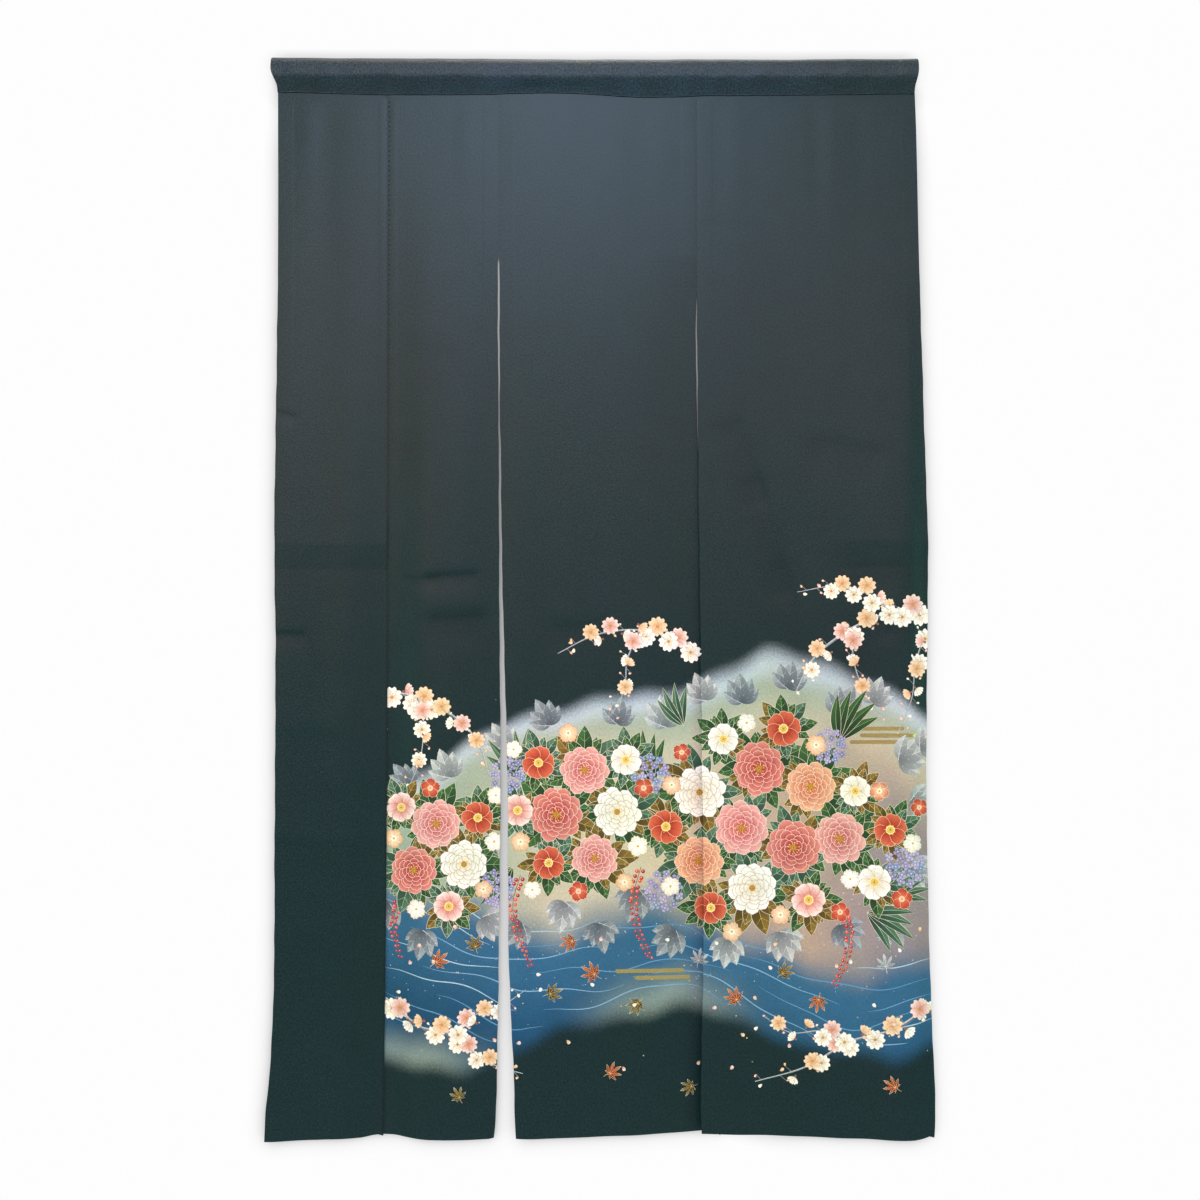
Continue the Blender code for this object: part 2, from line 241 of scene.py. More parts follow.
def ramp(t):
    """0 below 0, 1 above 1, smooth between."""
    t = np.clip(t, 0, 1)
    return t * t * (3 - 2 * t)


def spaced(start, end, spacing):
    """Even positions from start to end, both ends in, no further apart than the spacing."""
    count = max(1, math.ceil(abs(end - start) / spacing - 1e-9))
    return np.linspace(start, end, count + 1)


def rows_at(across, height):
    """Points at the given places across, all at one height."""
    return np.stack([across, np.full(len(across), float(height))], 1)


def grown(z, start, power):
    """Share of its full depth that a wave has at a height."""
    return np.maximum((start - z) / (start - FOOT), 0.0) ** power


LEAN_CURVE = Curve(LEAN)


def hanging(x, z, laps, puckers=()):
    """Depth of the lean, the waves, the puckers and the edges that part."""
    down = np.maximum(HANG_START - z, 0.0)
    depth = LEAN_CURVE(x) * grown(z, HANG_START, 1.0)
    for x_top, x_foot, half_width, full, start, power in WAVES:
        centre = x_top + (x_foot - x_top) * z / FOOT
        depth += full * grown(z, start, power) * bell((x - centre) / half_width)
    for centre, half_width, full, reach in puckers:
        fade = down / reach
        depth += full * fade * np.exp(1 - fade) * bell((x - centre) / half_width)
    for centre, reach, full in laps:
        depth += full * grown(z, SLIT_START, 0.8) * bell((x - centre) / reach)
    return depth


def crease_line(x0, z0, x1, z1):
    """Length and direction of a crease."""
    run = np.array([x1 - x0, z1 - z0], float)
    length = np.hypot(*run)
    return length, run / length


def crease_depth(x, z):
    """Depth of the pressed creases and bands, + to the back."""
    depth = np.zeros_like(x)
    for x0, z0, x1, z1, half_width, full in CREASES:
        length, run = crease_line(x0, z0, x1, z1)
        along = (x - x0) * run[0] + (z - z0) * run[1]
        across = (x - x0) * run[1] - (z - z0) * run[0]
        past = np.maximum(np.maximum(-along, along - length), 0.0)
        reach = half_width * np.where(across * full > 0, EASED_SIDE, 1.0)
        depth += full * np.exp(-(across / reach) ** 2) * np.exp(-(past / (1.2 * half_width)) ** 2)
    for left, right, upper, lower, full, fade, fades_left in BANDS:
        in_band = np.clip((upper - z) / (upper - lower), 0, 1)
        below = np.exp(-np.maximum(lower - z, 0.0) / fade)
        above = np.exp(-np.maximum(z - upper, 0.0) / fade)
        slope = np.where(z > upper, -0.55 * above, np.where(z < lower, 0.45 * below, in_band - 0.55))
        side = ramp((x - left) / 70) if fades_left else 1.0
        depth += full * slope * side * (x > left) * (x < right)
    return depth


class Panel:
    """One hanging sheet: its edges, its foot, its turnings and the depth that it hangs at."""

    def __init__(self, place, slot, left, right, foot, turnings, laps, grooves, width, painted):
        self.name, self.node, self.slot = "cloth_" + place, "panel_" + place, slot
        self.left, self.right, self.foot = Curve(left), Curve(right), Curve(foot)
        self.turnings, self.laps, self.grooves = turnings, laps, grooves
        self.cut = (width, CUT_LENGTH)
        self.painted = painted

    def hang(self, x, z):
        """Depth of the middle of the cloth."""
        return hanging(x, z, self.laps, PUCKERS) + crease_depth(x, z) * ramp((HANG_START - z) / 60)

    def turned(self, x, z):
        """1 on a turned-in edge, 0 off it."""
        left = (self.turnings[0] - (x - self.left(z))) / TURNING_STEP
        right = (self.turnings[1] - (self.right(z) - x)) / TURNING_STEP
        low = (FOOT_TURNING - (z - self.foot(x))) / TURNING_STEP
        on = np.maximum(np.maximum(ramp(left + 1), ramp(right + 1)), ramp(low + 1))
        return on * ramp((TURNINGS_START - z) / 6)

    def grooved(self, x, z):
        """Depth that the front draws back along its sewn edges."""
        drawn = np.zeros_like(x)
        for (depth, low), off in zip(self.grooves, (x - self.left(z), self.right(z) - x)):
            drawn += depth * np.exp(-(off / GROOVE_WIDTH) ** 2) * ramp((z - low) / GROOVE_END)
        return drawn * ramp((PANEL_TOP - 4 - z) / 8)

    def front(self, x, z):
        """Depth of the front surface."""
        return self.hang(x, z) - PANEL_CLOTH / 2 - TURNING_SHOWS * self.turned(x, z) + self.grooved(x, z)

    def back(self, x, z):
        """Depth of the back surface."""
        return self.hang(x, z) + PANEL_CLOTH / 2 + (TURNING - TURNING_SHOWS) * self.turned(x, z)

    def free(self, side, z):
        """1 where a long edge hangs free, 0 where it is sewn; side 0 is the left one, 1 the right one."""
        return ramp((self.grooves[side][1] - z) / 8)

    def outline(self):
        """Outline of the sheet seen from the front, anticlockwise from the top left."""
        heights = spaced(PANEL_TOP, FOOT, EDGE_SPACING)
        shake = sum(size * np.sin(heights / length + shift) for size, length, shift in EDGE_SHAKES)
        shake *= ramp((SLIT_START - heights) / 60)
        sides = []
        for side, edge, inward in ((0, self.left, 1), (1, self.right, -1)):
            free = self.free(side, heights)
            x = edge(heights) + (shake + inward * EDGE_ROUND) * free - inward * SEWN_REACH * (1 - free)
            sides.append(np.stack([x, heights], 1))
        left, right = sides
        low = spaced(left[-1, 0], right[-1, 0], EDGE_SPACING)
        foot = np.stack([low, self.foot(low) + EDGE_ROUND + 0.2 * np.sin(low / 11.0)], 1)
        top = spaced(right[0, 0], left[0, 0], EDGE_SPACING)
        return np.concatenate([left[:-1], foot[:-1], right[::-1][:-1], rows_at(top, PANEL_TOP)[:-1]])

    def back_heights(self):
        """Heights of the back's rows of points: even ones, and close ones where the foot's turning ends."""
        foot = float(self.foot((self.left(FOOT) + self.right(FOOT)) / 2))
        heights = spaced(PANEL_TOP - 4, TURNINGS_START - 8, 6.0).tolist()
        heights += spaced(TURNINGS_START - 16, PAINTED_FROM, 2 * BACK_SPACING).tolist()
        heights += spaced(PAINTED_FROM - BACK_SPACING, foot + FOOT_TURNING + 8, BACK_SPACING).tolist()
        return heights + [foot + FOOT_TURNING + up for up in (5, 2.6, 0, -3, -9, -14)]

    def inner_points(self):
        """Points of the sheet inside its outline: an even grid, the turnings' edges and the creases."""
        heights = list(spaced(PANEL_TOP, PAINTED_FROM, PLAIN_SPACING)[1:])
        step = PAINTED_SPACING if self.painted else PLAIN_SPACING
        heights += list(spaced(PAINTED_FROM, FOOT, step)[1:])
        points = []
        for height in heights:
            spacing = step if height < PAINTED_FROM else PLAIN_SPACING
            row = spaced(float(self.left(height)), float(self.right(height)), spacing)[1:-1]
            points.append(rows_at(row, height))
        lines = spaced(TURNINGS_START, FOOT + 4, EDGE_SPACING)
        for offset in GROOVE_POINTS:
            if self.grooves[0][0]:
                points.append(np.stack([self.left(lines) + offset, lines], 1))
            if self.grooves[1][0]:
                points.append(np.stack([self.right(lines) - offset, lines], 1))
        for offset in (-0.2, TURNING_STEP / 2, TURNING_STEP + 0.2):
            points.append(np.stack([self.left(lines) + self.turnings[0] + offset, lines], 1))
            points.append(np.stack([self.right(lines) - self.turnings[1] - offset, lines], 1))
            low = spaced(float(self.left(FOOT)) + 4, float(self.right(FOOT)) - 4, EDGE_SPACING)
            points.append(np.stack([low, self.foot(low) + FOOT_TURNING + offset], 1))
        for x0, z0, x1, z1, half_width, _ in CREASES:
            length, run = crease_line(x0, z0, x1, z1)
            for along in spaced(-half_width, length + half_width, max(4.0, half_width * 0.6)):
                for share in CREASE_POINTS:
                    spot = np.array([x0, z0]) + run * along
                    points.append((spot + share * half_width * np.array([run[1], -run[0]]))[None])
        for left, right, upper, lower, _, _, _ in BANDS:
            for height in (upper + 3, upper, upper - 3, lower + 3, lower, lower - 3):
                row = spaced(left, right, PLAIN_SPACING)
                points.append(rows_at(row, height))
        points = np.concatenate(points)
        x, z = points[:, 0], points[:, 1]
        inside = (x > self.left(z) + 0.7) & (x < self.right(z) - 0.7)
        inside &= (z < PANEL_TOP - 1.5) & (z > self.foot(x) + 1.5)
        return points[inside]


PLAIN_GROOVE = (0.0, 0.0)
CUT_LENGTH = 1.452          # m, from the stitch line to the foot with its turning
PANELS = (
    Panel("outer_left", "plain_crepe", LEFT_SIDE, [(z, x - SEAM_GAP / 2) for z, x in SEAM], FOOT_LEFT,
          (SIDE_TURNING, SEAM_TURNING), (), (PLAIN_GROOVE, SEAM_GROOVE), 0.155, False),
    Panel("inner_left", "painted_crepe", [(z, x + SEAM_GAP / 2) for z, x in SEAM], SLIT_1_LEFT, FOOT_LEFT,
          (SEAM_TURNING, SIDE_TURNING), (LAP_LEFT_OF_SLIT_1,), (SEAM_GROOVE, SLIT_1_GROOVE), 0.155, True),
    Panel("middle", "painted_crepe", SLIT_1_RIGHT, SLIT_2_BEHIND, FOOT_MIDDLE, (SIDE_TURNING, SIDE_TURNING),
          (LAP_MIDDLE_LEFT, LAP_MIDDLE_RIGHT), (SLIT_1_GROOVE, SLIT_2_GROOVE), 0.276, True),
    Panel("right", "painted_crepe", SLIT_2_FRONT, RIGHT_SIDE, FOOT_RIGHT, (SIDE_TURNING, SIDE_TURNING),
          (LAP_RIGHT_LEFT, CORNER_CURL), (SLIT_2_GROOVE, PLAIN_GROOVE), 0.309, True),
)

# ---- 3. The painting: shapes in the front view (mm), painted one over the other
DARK = (17, 41, 43.5)
PAINT = []      # (outline, base colour, tip colour, base place, tip place, gold), lowest first
DICE = random.Random(11)
PAINTED_GROOVE_SHADE = 0.6          # painted shade: the colour is darker in the grooves and creases by these shares
PAINTED_CREASE_SHADE = 0.12
OUTSIDE = -2                # marks of triangles outside the sheet, and not yet known
UNKNOWN = -9


def linear(colour):
    """Linear light of a colour given as 0 to 255 screen values."""
    c = np.asarray(colour, float) / 255
    return np.where(c <= 0.04045, c / 12.92, ((c + 0.055) / 1.055) ** 2.4)


def paint(outline, colour, tip=None, start=None, end=None, gold=0.0):
    """One shape in a colour, or running from its colour at start to the tip colour at end."""
    outline = np.asarray(outline, float)
    following = np.roll(outline, -1, axis=0)
    if (outline[:, 0] * following[:, 1] - following[:, 0] * outline[:, 1]).sum() < 0:
        outline = outline[::-1]
    start = outline.mean(0) if start is None else np.asarray(start, float)
    end = start + (1, 0) if end is None else np.asarray(end, float)
    PAINT.append((outline, linear(colour), linear(tip or colour), start, end, gold))


def turned_to(points, at, turn):
    """Points of a motif's own frame, turned by degrees and moved to their place."""
    a = math.radians(turn)
    matrix = np.array([[math.cos(a), math.sin(a)], [-math.sin(a), math.cos(a)]])
    return np.asarray(points, float) @ matrix + np.asarray(at, float)


def off_by(at, turn, reach):
    """The place at a reach from another, in a direction."""
    return turned_to([[reach, 0]], at, turn)[0]


def dot(at, radius, sides, colour, turn=0):
    """A round spot."""
    a = np.linspace(0, math.tau, sides, endpoint=False)
    paint(turned_to(np.stack([radius * np.cos(a), radius * np.sin(a)], 1), at, turn), colour)


def petal_outline(length, width, notch=0.0, frill=0.0, teeth=0, sides=16):
    """Petal from its narrow base at 0 to its round tip at length."""
    a = np.linspace(-math.pi, math.pi, sides, endpoint=False)
    u = 0.5 + 0.5 * np.cos(a)
    v = 0.5 * np.sin(a) * (0.25 + u) ** 0.45
    outer = bell(a / 1.9)
    u = u * (1 - notch * np.exp(-(a / 0.3) ** 2)) + frill * np.cos(teeth * a) * outer
    return np.stack([length * u, width * v], 1)


def blend(a, b, share):
    """A colour between two."""
    return tuple(x + (y - x) * share for x, y in zip(a, b))


def petal(at, turn, length, width, base, tip, line=None, thick=0.45, shaded=0.0, **form):
    """One petal with a fine line round it; its colour runs on to the tip from the shaded share of it."""
    if line is not None:
        ring = petal_outline(length + 2 * thick, width + 2 * thick, **form)
        paint(turned_to(ring - (thick, 0), at, turn), line)
    shape = turned_to(petal_outline(length, width, **form), at, turn)
    near, far = turned_to([[length * shaded, 0], [length, 0]], at, turn)
    paint(shape, base, tip, near, far)


def sideways(points):
    """Unit vectors to the left of a line, and along it, at each of its points."""
    run = np.gradient(points, axis=0)
    run /= np.maximum(np.linalg.norm(run, axis=1, keepdims=True), 1e-6)
    return np.stack([-run[:, 1], run[:, 0]], 1), run


def stroke(points, widths, colour, tip=None):
    """Tapered brush stroke along points, its width at each."""
    points = np.asarray(points, float)
    widths = np.broadcast_to(np.asarray(widths, float), (len(points),))
    side = sideways(points)[0] * widths[:, None] / 2
    paint(np.concatenate([points + side, (points - side)[::-1]]), colour, tip, points[0], points[-1])


def smooth_path(points, steps=6):
    """Points along a smooth curve through the given ones."""
    p = np.asarray(points, float)
    p = np.concatenate([2 * p[:1] - p[1:2], p, 2 * p[-1:] - p[-2:-1]])
    out = []
    for i in range(1, len(p) - 2):
        for t in np.arange(steps) / steps:
            out.append(0.5 * ((2 * p[i]) + (p[i + 1] - p[i - 1]) * t
                              + (2 * p[i - 1] - 5 * p[i] + 4 * p[i + 1] - p[i + 2]) * t * t
                              + (3 * p[i] - p[i - 1] - 3 * p[i + 1] + p[i + 2]) * t ** 3))
    out.append(p[-2])
    return np.array(out)


# ---- Flower colours: (base, tip, line) ----
CORAL = ((174, 62, 60), (230, 148, 132), (250, 224, 206))
ROSE = ((196, 92, 92), (240, 186, 172), (252, 234, 222))
APRICOT = ((196, 108, 76), (240, 190, 150), (252, 232, 208))
IVORY = ((232, 220, 196), (255, 252, 245), (170, 146, 120))
BLUSH = ((222, 142, 128), (250, 234, 222), (180, 126, 112))
VERMILION = ((176, 56, 38), (222, 112, 78), (248, 214, 186))
PEACH = ((226, 172, 124), (248, 224, 190), (178, 128, 92))
GOLD_YELLOW = (226, 178, 62)
DEEP_GOLD = (160, 108, 36)
CREAM_LINE = (226, 218, 190)
# ---- Leaf colours: (base, tip, vein) ----
GREEN = ((20, 54, 30), (70, 112, 58), (168, 186, 138))
BLUE_GREEN = ((30, 64, 50), (96, 132, 100), (182, 202, 174))
OLIVE = ((70, 54, 16), (148, 118, 48), (206, 182, 118))
GREY_LEAF = ((128, 134, 138), (208, 210, 206), (226, 226, 220))
SMOKE_LEAF = ((92, 102, 112), (170, 176, 178), (198, 202, 202))
RUST = ((134, 52, 26), (206, 112, 58), (238, 186, 130))


def stamens(at, count, reach, thread, head, head_size, turn):
    """Fine threads with pollen heads round a flower's middle."""
    for i in range(count):
        a = turn + 360 * i / count + DICE.uniform(-6, 6)
        far = reach * DICE.uniform(0.8, 1.1)
        line = turned_to([[far * 0.15, 0], [far * 0.6, 0], [far, 0]], at, a)
        stroke(line, (0.5, 0.4, 0.3), thread)
        dot(line[-1], head_size, 6, head)


PEONY_RINGS = (     # (petals, reach, width, turn, share of the tip colour at the base and at the tip)
    (10, 1.00, 0.62, 0, 0.25, 1.0), (9, 0.83, 0.54, 20, 0.10, 0.9), (8, 0.66, 0.46, 5, 0.0, 0.8),
    (7, 0.49, 0.38, 28, 0.0, 0.65), (6, 0.32, 0.30, 10, 0.0, 0.5),
)


def peony(at, radius, tones, turn):
    """Full blossom of ruffled petals in rings round a gold middle."""
    base, tip, line = tones
    for count, reach, wide, shift, near, far in PEONY_RINGS:
        for i in range(count):
            a = turn + shift + 360 * i / count + DICE.uniform(-4, 4)
            long = radius * reach * DICE.uniform(0.95, 1.04)
            petal(at, a, long, radius * wide, blend(base, tip, near), blend(base, tip, far), line, 0.5,
                  0.62, frill=0.035, teeth=7, notch=0.05, sides=18)
    dot(at, radius * 0.12, 10, DEEP_GOLD)
    stamens(at, 11, radius * 0.21, GOLD_YELLOW, (248, 216, 112), 0.75, turn)


def camellia(at, radius, tones, turn):
    """Flat open blossom of six broad petals with a dense gold middle."""
    base, tip, line = tones
    for i in range(6):
        a = turn + 60 * i + DICE.uniform(-5, 5)
        petal(at, a, radius * DICE.uniform(0.95, 1.04), radius * 0.98, base, tip, line, 0.5, 0.3, notch=0.08)
    for i in range(6):
        vein = ((radius * 0.3, 0), (radius * 0.55, radius * 0.02), (radius * 0.8, 0))
        vein = turned_to(vein, at, turn + 60 * i)
        stroke(vein, (0.9, 0.6, 0.2), blend(base, (120, 20, 30), 0.2))
    dot(at, radius * 0.27, 12, (250, 226, 150))
    dot(at, radius * 0.2, 12, GOLD_YELLOW)
    dot(at, radius * 0.09, 8, DEEP_GOLD)
    stamens(at, 9, radius * 0.3, (250, 226, 150), (252, 214, 92), 0.6, turn)


def cherry(at, radius, tones, turn):
    """Small blossom of five notched petals."""
    base, tip, line = tones
    for i in range(5):
        petal(at, turn + 72 * i, radius, radius * 0.92, base, tip, line, 0.35, 0.1, notch=0.22, sides=14)
    dot(at, radius * 0.15, 7, (202, 132, 66))
    stamens(at, 7, radius * 0.42, (214, 168, 110), (216, 160, 60), 0.5, turn + 10)


def side_cherry(at, radius, tones, turn):
    """The same blossom seen from the side: three petals over a small cup."""
    base, tip, line = tones
    for a in (-42, 42, 0):
        petal(at, turn + a, radius * 0.95, radius * 0.62, base, tip, line, 0.3, notch=0.16, sides=12)
    paint(turned_to(petal_outline(radius * 0.36, radius * 0.3, sides=8), at, turn + 180), (150, 96, 84))


def bud(at, radius, tones, turn):
    """A closed blossom."""
    base, tip, line = tones
    petal(at, turn, radius * 1.5, radius * 1.15, base, tip, line, 0.3, sides=10)


def fringed_pink(at, radius, tones, turn):
    """Wild pink: five petals with toothed tips."""
    base, tip, line = tones
    for i in range(5):
        petal(at, turn + 72 * i, radius, radius * 1.0, tip, base, line, 0.35, 0.2, frill=0.07, teeth=10,
              sides=22)
    dot(at, radius * 0.3, 10, blend(tip, (255, 246, 226), 0.7))
    dot(at, radius * 0.13, 8, GOLD_YELLOW)


def hydrangea(at, radius, turn):
    """Cluster of four-petalled florets in violet and blue."""
    florets = [(0.0, 0.0)] + [(0.52, a) for a in range(0, 360, 60)] + [(0.92, a) for a in range(15, 375, 33)]
    for reach, a in reversed(florets):
        spot = off_by(at, a + turn, radius * reach * DICE.uniform(0.92, 1.08))
        tone = DICE.choice(((92, 86, 150), (120, 110, 172), (84, 110, 170), (146, 132, 186)))
        for i in range(4):
            petal(spot, 90 * i + a, radius * 0.24, radius * 0.23, tone, blend(tone, (240, 238, 246), 0.6),
                  (58, 52, 104), 0.25, sides=9)
        dot(spot, radius * 0.045, 6, (238, 226, 176))


def lance_leaf(at, turn, length, width, tones, veins, line, bow):
    """Pointed oval leaf with a midrib and side veins."""
    base, tip, vein = tones
    t = np.linspace(0, 1, 9)
    half = width / 2 * np.sin(math.pi * t ** 0.85) ** 0.9
    middle = bow * length * np.sin(math.pi * t)
    upper = np.stack([length * t, middle + half], 1)
    lower = np.stack([length * t, middle - half], 1)
    shape = np.concatenate([upper, lower[::-1][1:-1]])
    centre = np.array([length / 2, bow * length / 2])
    if line is not None:
        rim = centre + (shape - centre) * (1 + 1.1 / length, 1 + 1.3 / width)
        paint(turned_to(rim, at, turn), line)
    paint(turned_to(shape, at, turn), base, tip, at, off_by(at, turn, length))
    rib = np.stack([length * t, middle], 1)
    dark_half = turned_to(np.concatenate([rib, lower[::-1][1:-1]]), at, turn)
    paint(dark_half, blend(base, (0, 0, 0), 0.16), blend(tip, base, 0.4), at, off_by(at, turn, length))
    stroke(turned_to(rib[:-1], at, turn), np.linspace(0.8, 0.25, len(rib) - 1), vein)
    for i in range(veins):
        s = 0.2 + 0.6 * i / max(veins - 1, 1)
        root = np.array([length * s, bow * length * math.sin(math.pi * s)])
        out = width * 0.36 * math.sin(math.pi * s)
        for side in (1, -1):
            vein_line = np.array([root, root + (out * 0.9, side * out)])
            stroke(turned_to(vein_line, at, turn), (0.45, 0.2), vein)


def lobed_leaf(at, turn, size, tones, lobes=3, line=CREAM_LINE):
    """Leaf of lobes fanned from one stalk."""
    spread = 105 if lobes > 3 else 84
    for i in range(lobes):
        share = i / (lobes - 1) - 0.5
        a = turn + spread * share
        long = size * (1 - 0.5 * abs(share)) * DICE.uniform(0.95, 1.05)
        lance_leaf(at, a, long, long * 0.5, tones, 3, line, bow=0.10 * share)


def maple_leaf(at, turn, size, tones):
    """Seven-pointed leaf with a short stalk."""
    base, tip, vein = tones
    reach = (0.44, 0.70, 0.92, 1.0, 0.92, 0.70, 0.44)
    angles = (-118, -78, -38, 0, 38, 78, 118)
    points = []
    for i, (r, a) in enumerate(zip(reach, angles)):
        for step, share in ((-9, 0.72), (0, 1.0), (9, 0.72)):
            rad = math.radians(a + step)
            points.append((size * r * share * math.cos(rad), size * r * share * math.sin(rad)))
        if i < 6:
            rad = math.radians((a + angles[i + 1]) / 2)
            points.append((size * 0.34 * math.cos(rad), size * 0.34 * math.sin(rad)))
    points.append((-size * 0.14, 0.0))
    shape = np.array(points)
    paint(turned_to(shape * (1 + 1.0 / size), at, turn), CREAM_LINE)
    paint(turned_to(shape, at, turn), base, tip, at, off_by(at, turn, size))
    for r, a in zip(reach, angles):
        stroke(turned_to([[0, 0], [size * r * 0.8, 0]], at, turn + a), (0.5, 0.2), vein)
    stroke(turned_to([[-size * 0.1, 0], [-size * 0.35, size * 0.05], [-size * 0.55, size * 0.02]], at, turn),
           (0.7, 0.5, 0.4), vein)


def blades(at, turn, length, tones, count, spread):
    """Fan of bamboo leaves."""
    for i in range(count):
        share = i / (count - 1) - 0.5
        long = length * (1 - 0.35 * abs(share)) * DICE.uniform(0.9, 1.05)
        lance_leaf(at, turn + spread * share, long, length * 0.16, tones, 0, CREAM_LINE, 0.05)


BERRY_REDS, STALK = ((196, 44, 34), (222, 84, 60), (176, 30, 34)), (120, 92, 70)


def berries(path, size):
    """Spray of round berries along both sides of a stalk."""
    line = smooth_path(path)
    stroke(line, np.linspace(1.0, 0.4, len(line)), STALK)
    for i, spot in enumerate(line[1:]):
        taper = 1 - 0.45 * i / len(line)
        for side in (-1, 1):
            off = spot + (side * size * 1.5 * taper + DICE.uniform(-1, 1), DICE.uniform(-1.5, 1.5))
            stroke([spot, off], (0.4, 0.3), STALK)
            tone = DICE.choice(BERRY_REDS)
            dot(off, size * taper, 9, tone)
            dot(off + np.array([-0.5, 0.6]), size * taper * 0.35, 6, blend(tone, (255, 240, 230), 0.7))


BARK, LIT_BARK = (92, 98, 106), (196, 198, 200)


def branch(path, start_width, end_width):
    """Woody branch with a lit upper side."""
    line = smooth_path(path, 8)
    widths = np.linspace(start_width, end_width, len(line))
    widths = widths * (1 + 0.12 * np.sin(np.arange(len(line)) * 1.3))
    stroke(line, widths, BARK, blend(BARK, LIT_BARK, 0.6))
    side, run = sideways(line)
    stroke(line + side * np.sign(run[:, :1] + 1e-6) * widths[:, None] * 0.22, widths * 0.4, LIT_BARK)
    return line


def blossoming(path, start_width, end_width, flowers, size, hang):
    """Cherry branch with blossoms, side blossoms and buds set along it."""
    line = branch(path, start_width, end_width)
    tones = (IVORY, BLUSH, IVORY, PEACH, IVORY, PEACH)
    for i in range(flowers):
        share = (i + 0.6) / flowers
        spot = line[min(int(share * (len(line) - 1)), len(line) - 1)]
        side = 1 if i % 2 else -1
        off = spot + (DICE.uniform(-4, 4), side * size * DICE.uniform(0.35, 0.75) - hang)
        taper = 1.2 * size * (1.05 - 0.3 * share)
        tone = tones[i % len(tones)]
        kind = DICE.random()
        if share > 0.82:
            bud(off, taper * 0.34, tone, DICE.uniform(0, 360))
        elif kind < 0.68:
            cherry(off, taper, tone, DICE.uniform(0, 72))
        else:
            side_cherry(off, taper * 0.9, tone, DICE.uniform(-60, 240))
        near = spot + (DICE.uniform(6, 10) * side, -side * size * 0.6)
        stroke([spot, near], (0.7, 0.4), (150, 150, 152))
        bud(near, size * 0.22, DICE.choice((IVORY, BLUSH, PEACH)), DICE.uniform(0, 360))


# ---- Ground: dyed mist, shore and water between two long edges, black-green outside ----
MIST_TOP = Curve((
    (-290, -1012), (-230, -986), (-160, -946), (-80, -904), (0, -886), (80, -880), (160, -852), (240, -830),
    (330, -842), (400, -876), (460, -920),
))
MIST_FOOT = Curve((
    (-290, -1392), (-200, -1404), (-110, -1376), (0, -1332), (100, -1314), (200, -1334), (300, -1376),
    (390, -1388), (460, -1362),
))
WATER_TOP = Curve((
    (-290, -1120), (-200, -1146), (-100, -1176), (0, -1166), (110, -1150), (220, -1196), (340, -1238),
    (460, -1214),
))
SAGE, CREAM, SAND = linear((160, 172, 152)), linear((204, 192, 164)), linear((182, 156, 134))
MIST_BLUE, MAUVE, SHORE = linear((196, 206, 218)), linear((142, 132, 136)), linear((150, 164, 150))
WATER, DEEP_WATER = linear((50, 100, 132)), linear((26, 74, 106))


def ground_colour(x, z):
    """Colour of the cloth under the motifs, and how far it is dyed ground (0 where plain)."""
    wobble = 5 * np.sin(x / 31.0) + 3 * np.sin(x / 13.0 + 2) + 4 * np.sin(z / 27.0)
    under_top = MIST_TOP(x) - z + wobble
    over_foot = z - MIST_FOOT(x) + wobble
    inside = ramp((under_top + 6) / 34) * ramp((over_foot + 4) / 36)

    def mix(one, other, share):
        return one + (other - one) * share[:, None]

    even = np.ones((len(x), 3))
    c = mix(even * SAGE, CREAM, ramp((x + 230) / 240) * ramp((under_top - 30) / 90))
    c = mix(c, SAND, ramp((x - 40) / 180) * ramp((under_top - 60) / 120) * 0.85)
    c = mix(c, MAUVE, ramp((x - 230) / 180) * ramp((under_top - 60) / 140) * 0.9)
    c = mix(c, MIST_BLUE, 1 - ramp((under_top - 8) / 46))
    water = mix(even * WATER, DEEP_WATER, ramp((WATER_TOP(x) - z - 60) / 130))
    c = mix(c, water, ramp((WATER_TOP(x) - z + wobble * 1.5 + 14) / 70))
    glow = bell((x + 236) / 120) + bell((x - 96) / 150)
    c = mix(c, SHORE, (1 - ramp((over_foot - 8) / 70)) * np.clip(glow, 0, 1) * 0.9)
    return mix(even * linear(DARK), c, inside), inside


RIPPLE_TONES = ((126, 168, 196), (168, 196, 208), (96, 146, 182))


def water_lines():
    """Long flowing lines and short ripples on the stream."""
    for k in range(9):
        xs = np.linspace(-284, 454, 42)
        zs = WATER_TOP(xs) - (26 + 21 * k) + 7 * np.sin(xs / 46.0 + k * 1.1) + 3 * np.sin(xs / 17.0 + k)
        keep = zs > MIST_FOOT(xs) + 26
        start = None
        for i in range(len(xs) + 1):
            gap = i == len(xs) or not keep[i] or (i * 7 + k * 5) % 17 == 0
            if not gap and start is None:
                start = i
            if gap and start is not None:
                if i - start > 3:
                    run = smooth_path(np.stack([xs[start:i], zs[start:i]], 1), 3)
                    widths = 1.5 * np.sin(np.linspace(0.05, math.pi - 0.05, len(run))) ** 0.7
                    stroke(run, np.maximum(widths, 0.15), DICE.choice(RIPPLE_TONES))
                start = None


def spray_dots(count, low, high, colours, least, most):
    """Fine dots thrown over a band of the painting."""
    for _ in range(count):
        spot = (DICE.uniform(-284, 454), DICE.uniform(low, high))
        radius, turn = DICE.uniform(least, most), DICE.uniform(0, 60)
        dot(spot, radius, 6, DICE.choice(colours), turn)


def gold_mist(at, lengths):
    """Stacked bars of gold mist with round ends."""
    for i, (shift, long) in enumerate(lengths):
        z = at[1] - i * 9.0
        a = np.linspace(-math.pi / 2, math.pi / 2, 6)
        right = np.stack([at[0] + shift + long + 2.6 * np.cos(a), z + 2.6 * np.sin(a)], 1)
        left = np.stack([at[0] + shift - 2.6 * np.cos(a), z - 2.6 * np.sin(a)], 1)
        paint(np.concatenate([right, left]), (214, 186, 118), gold=1.0)


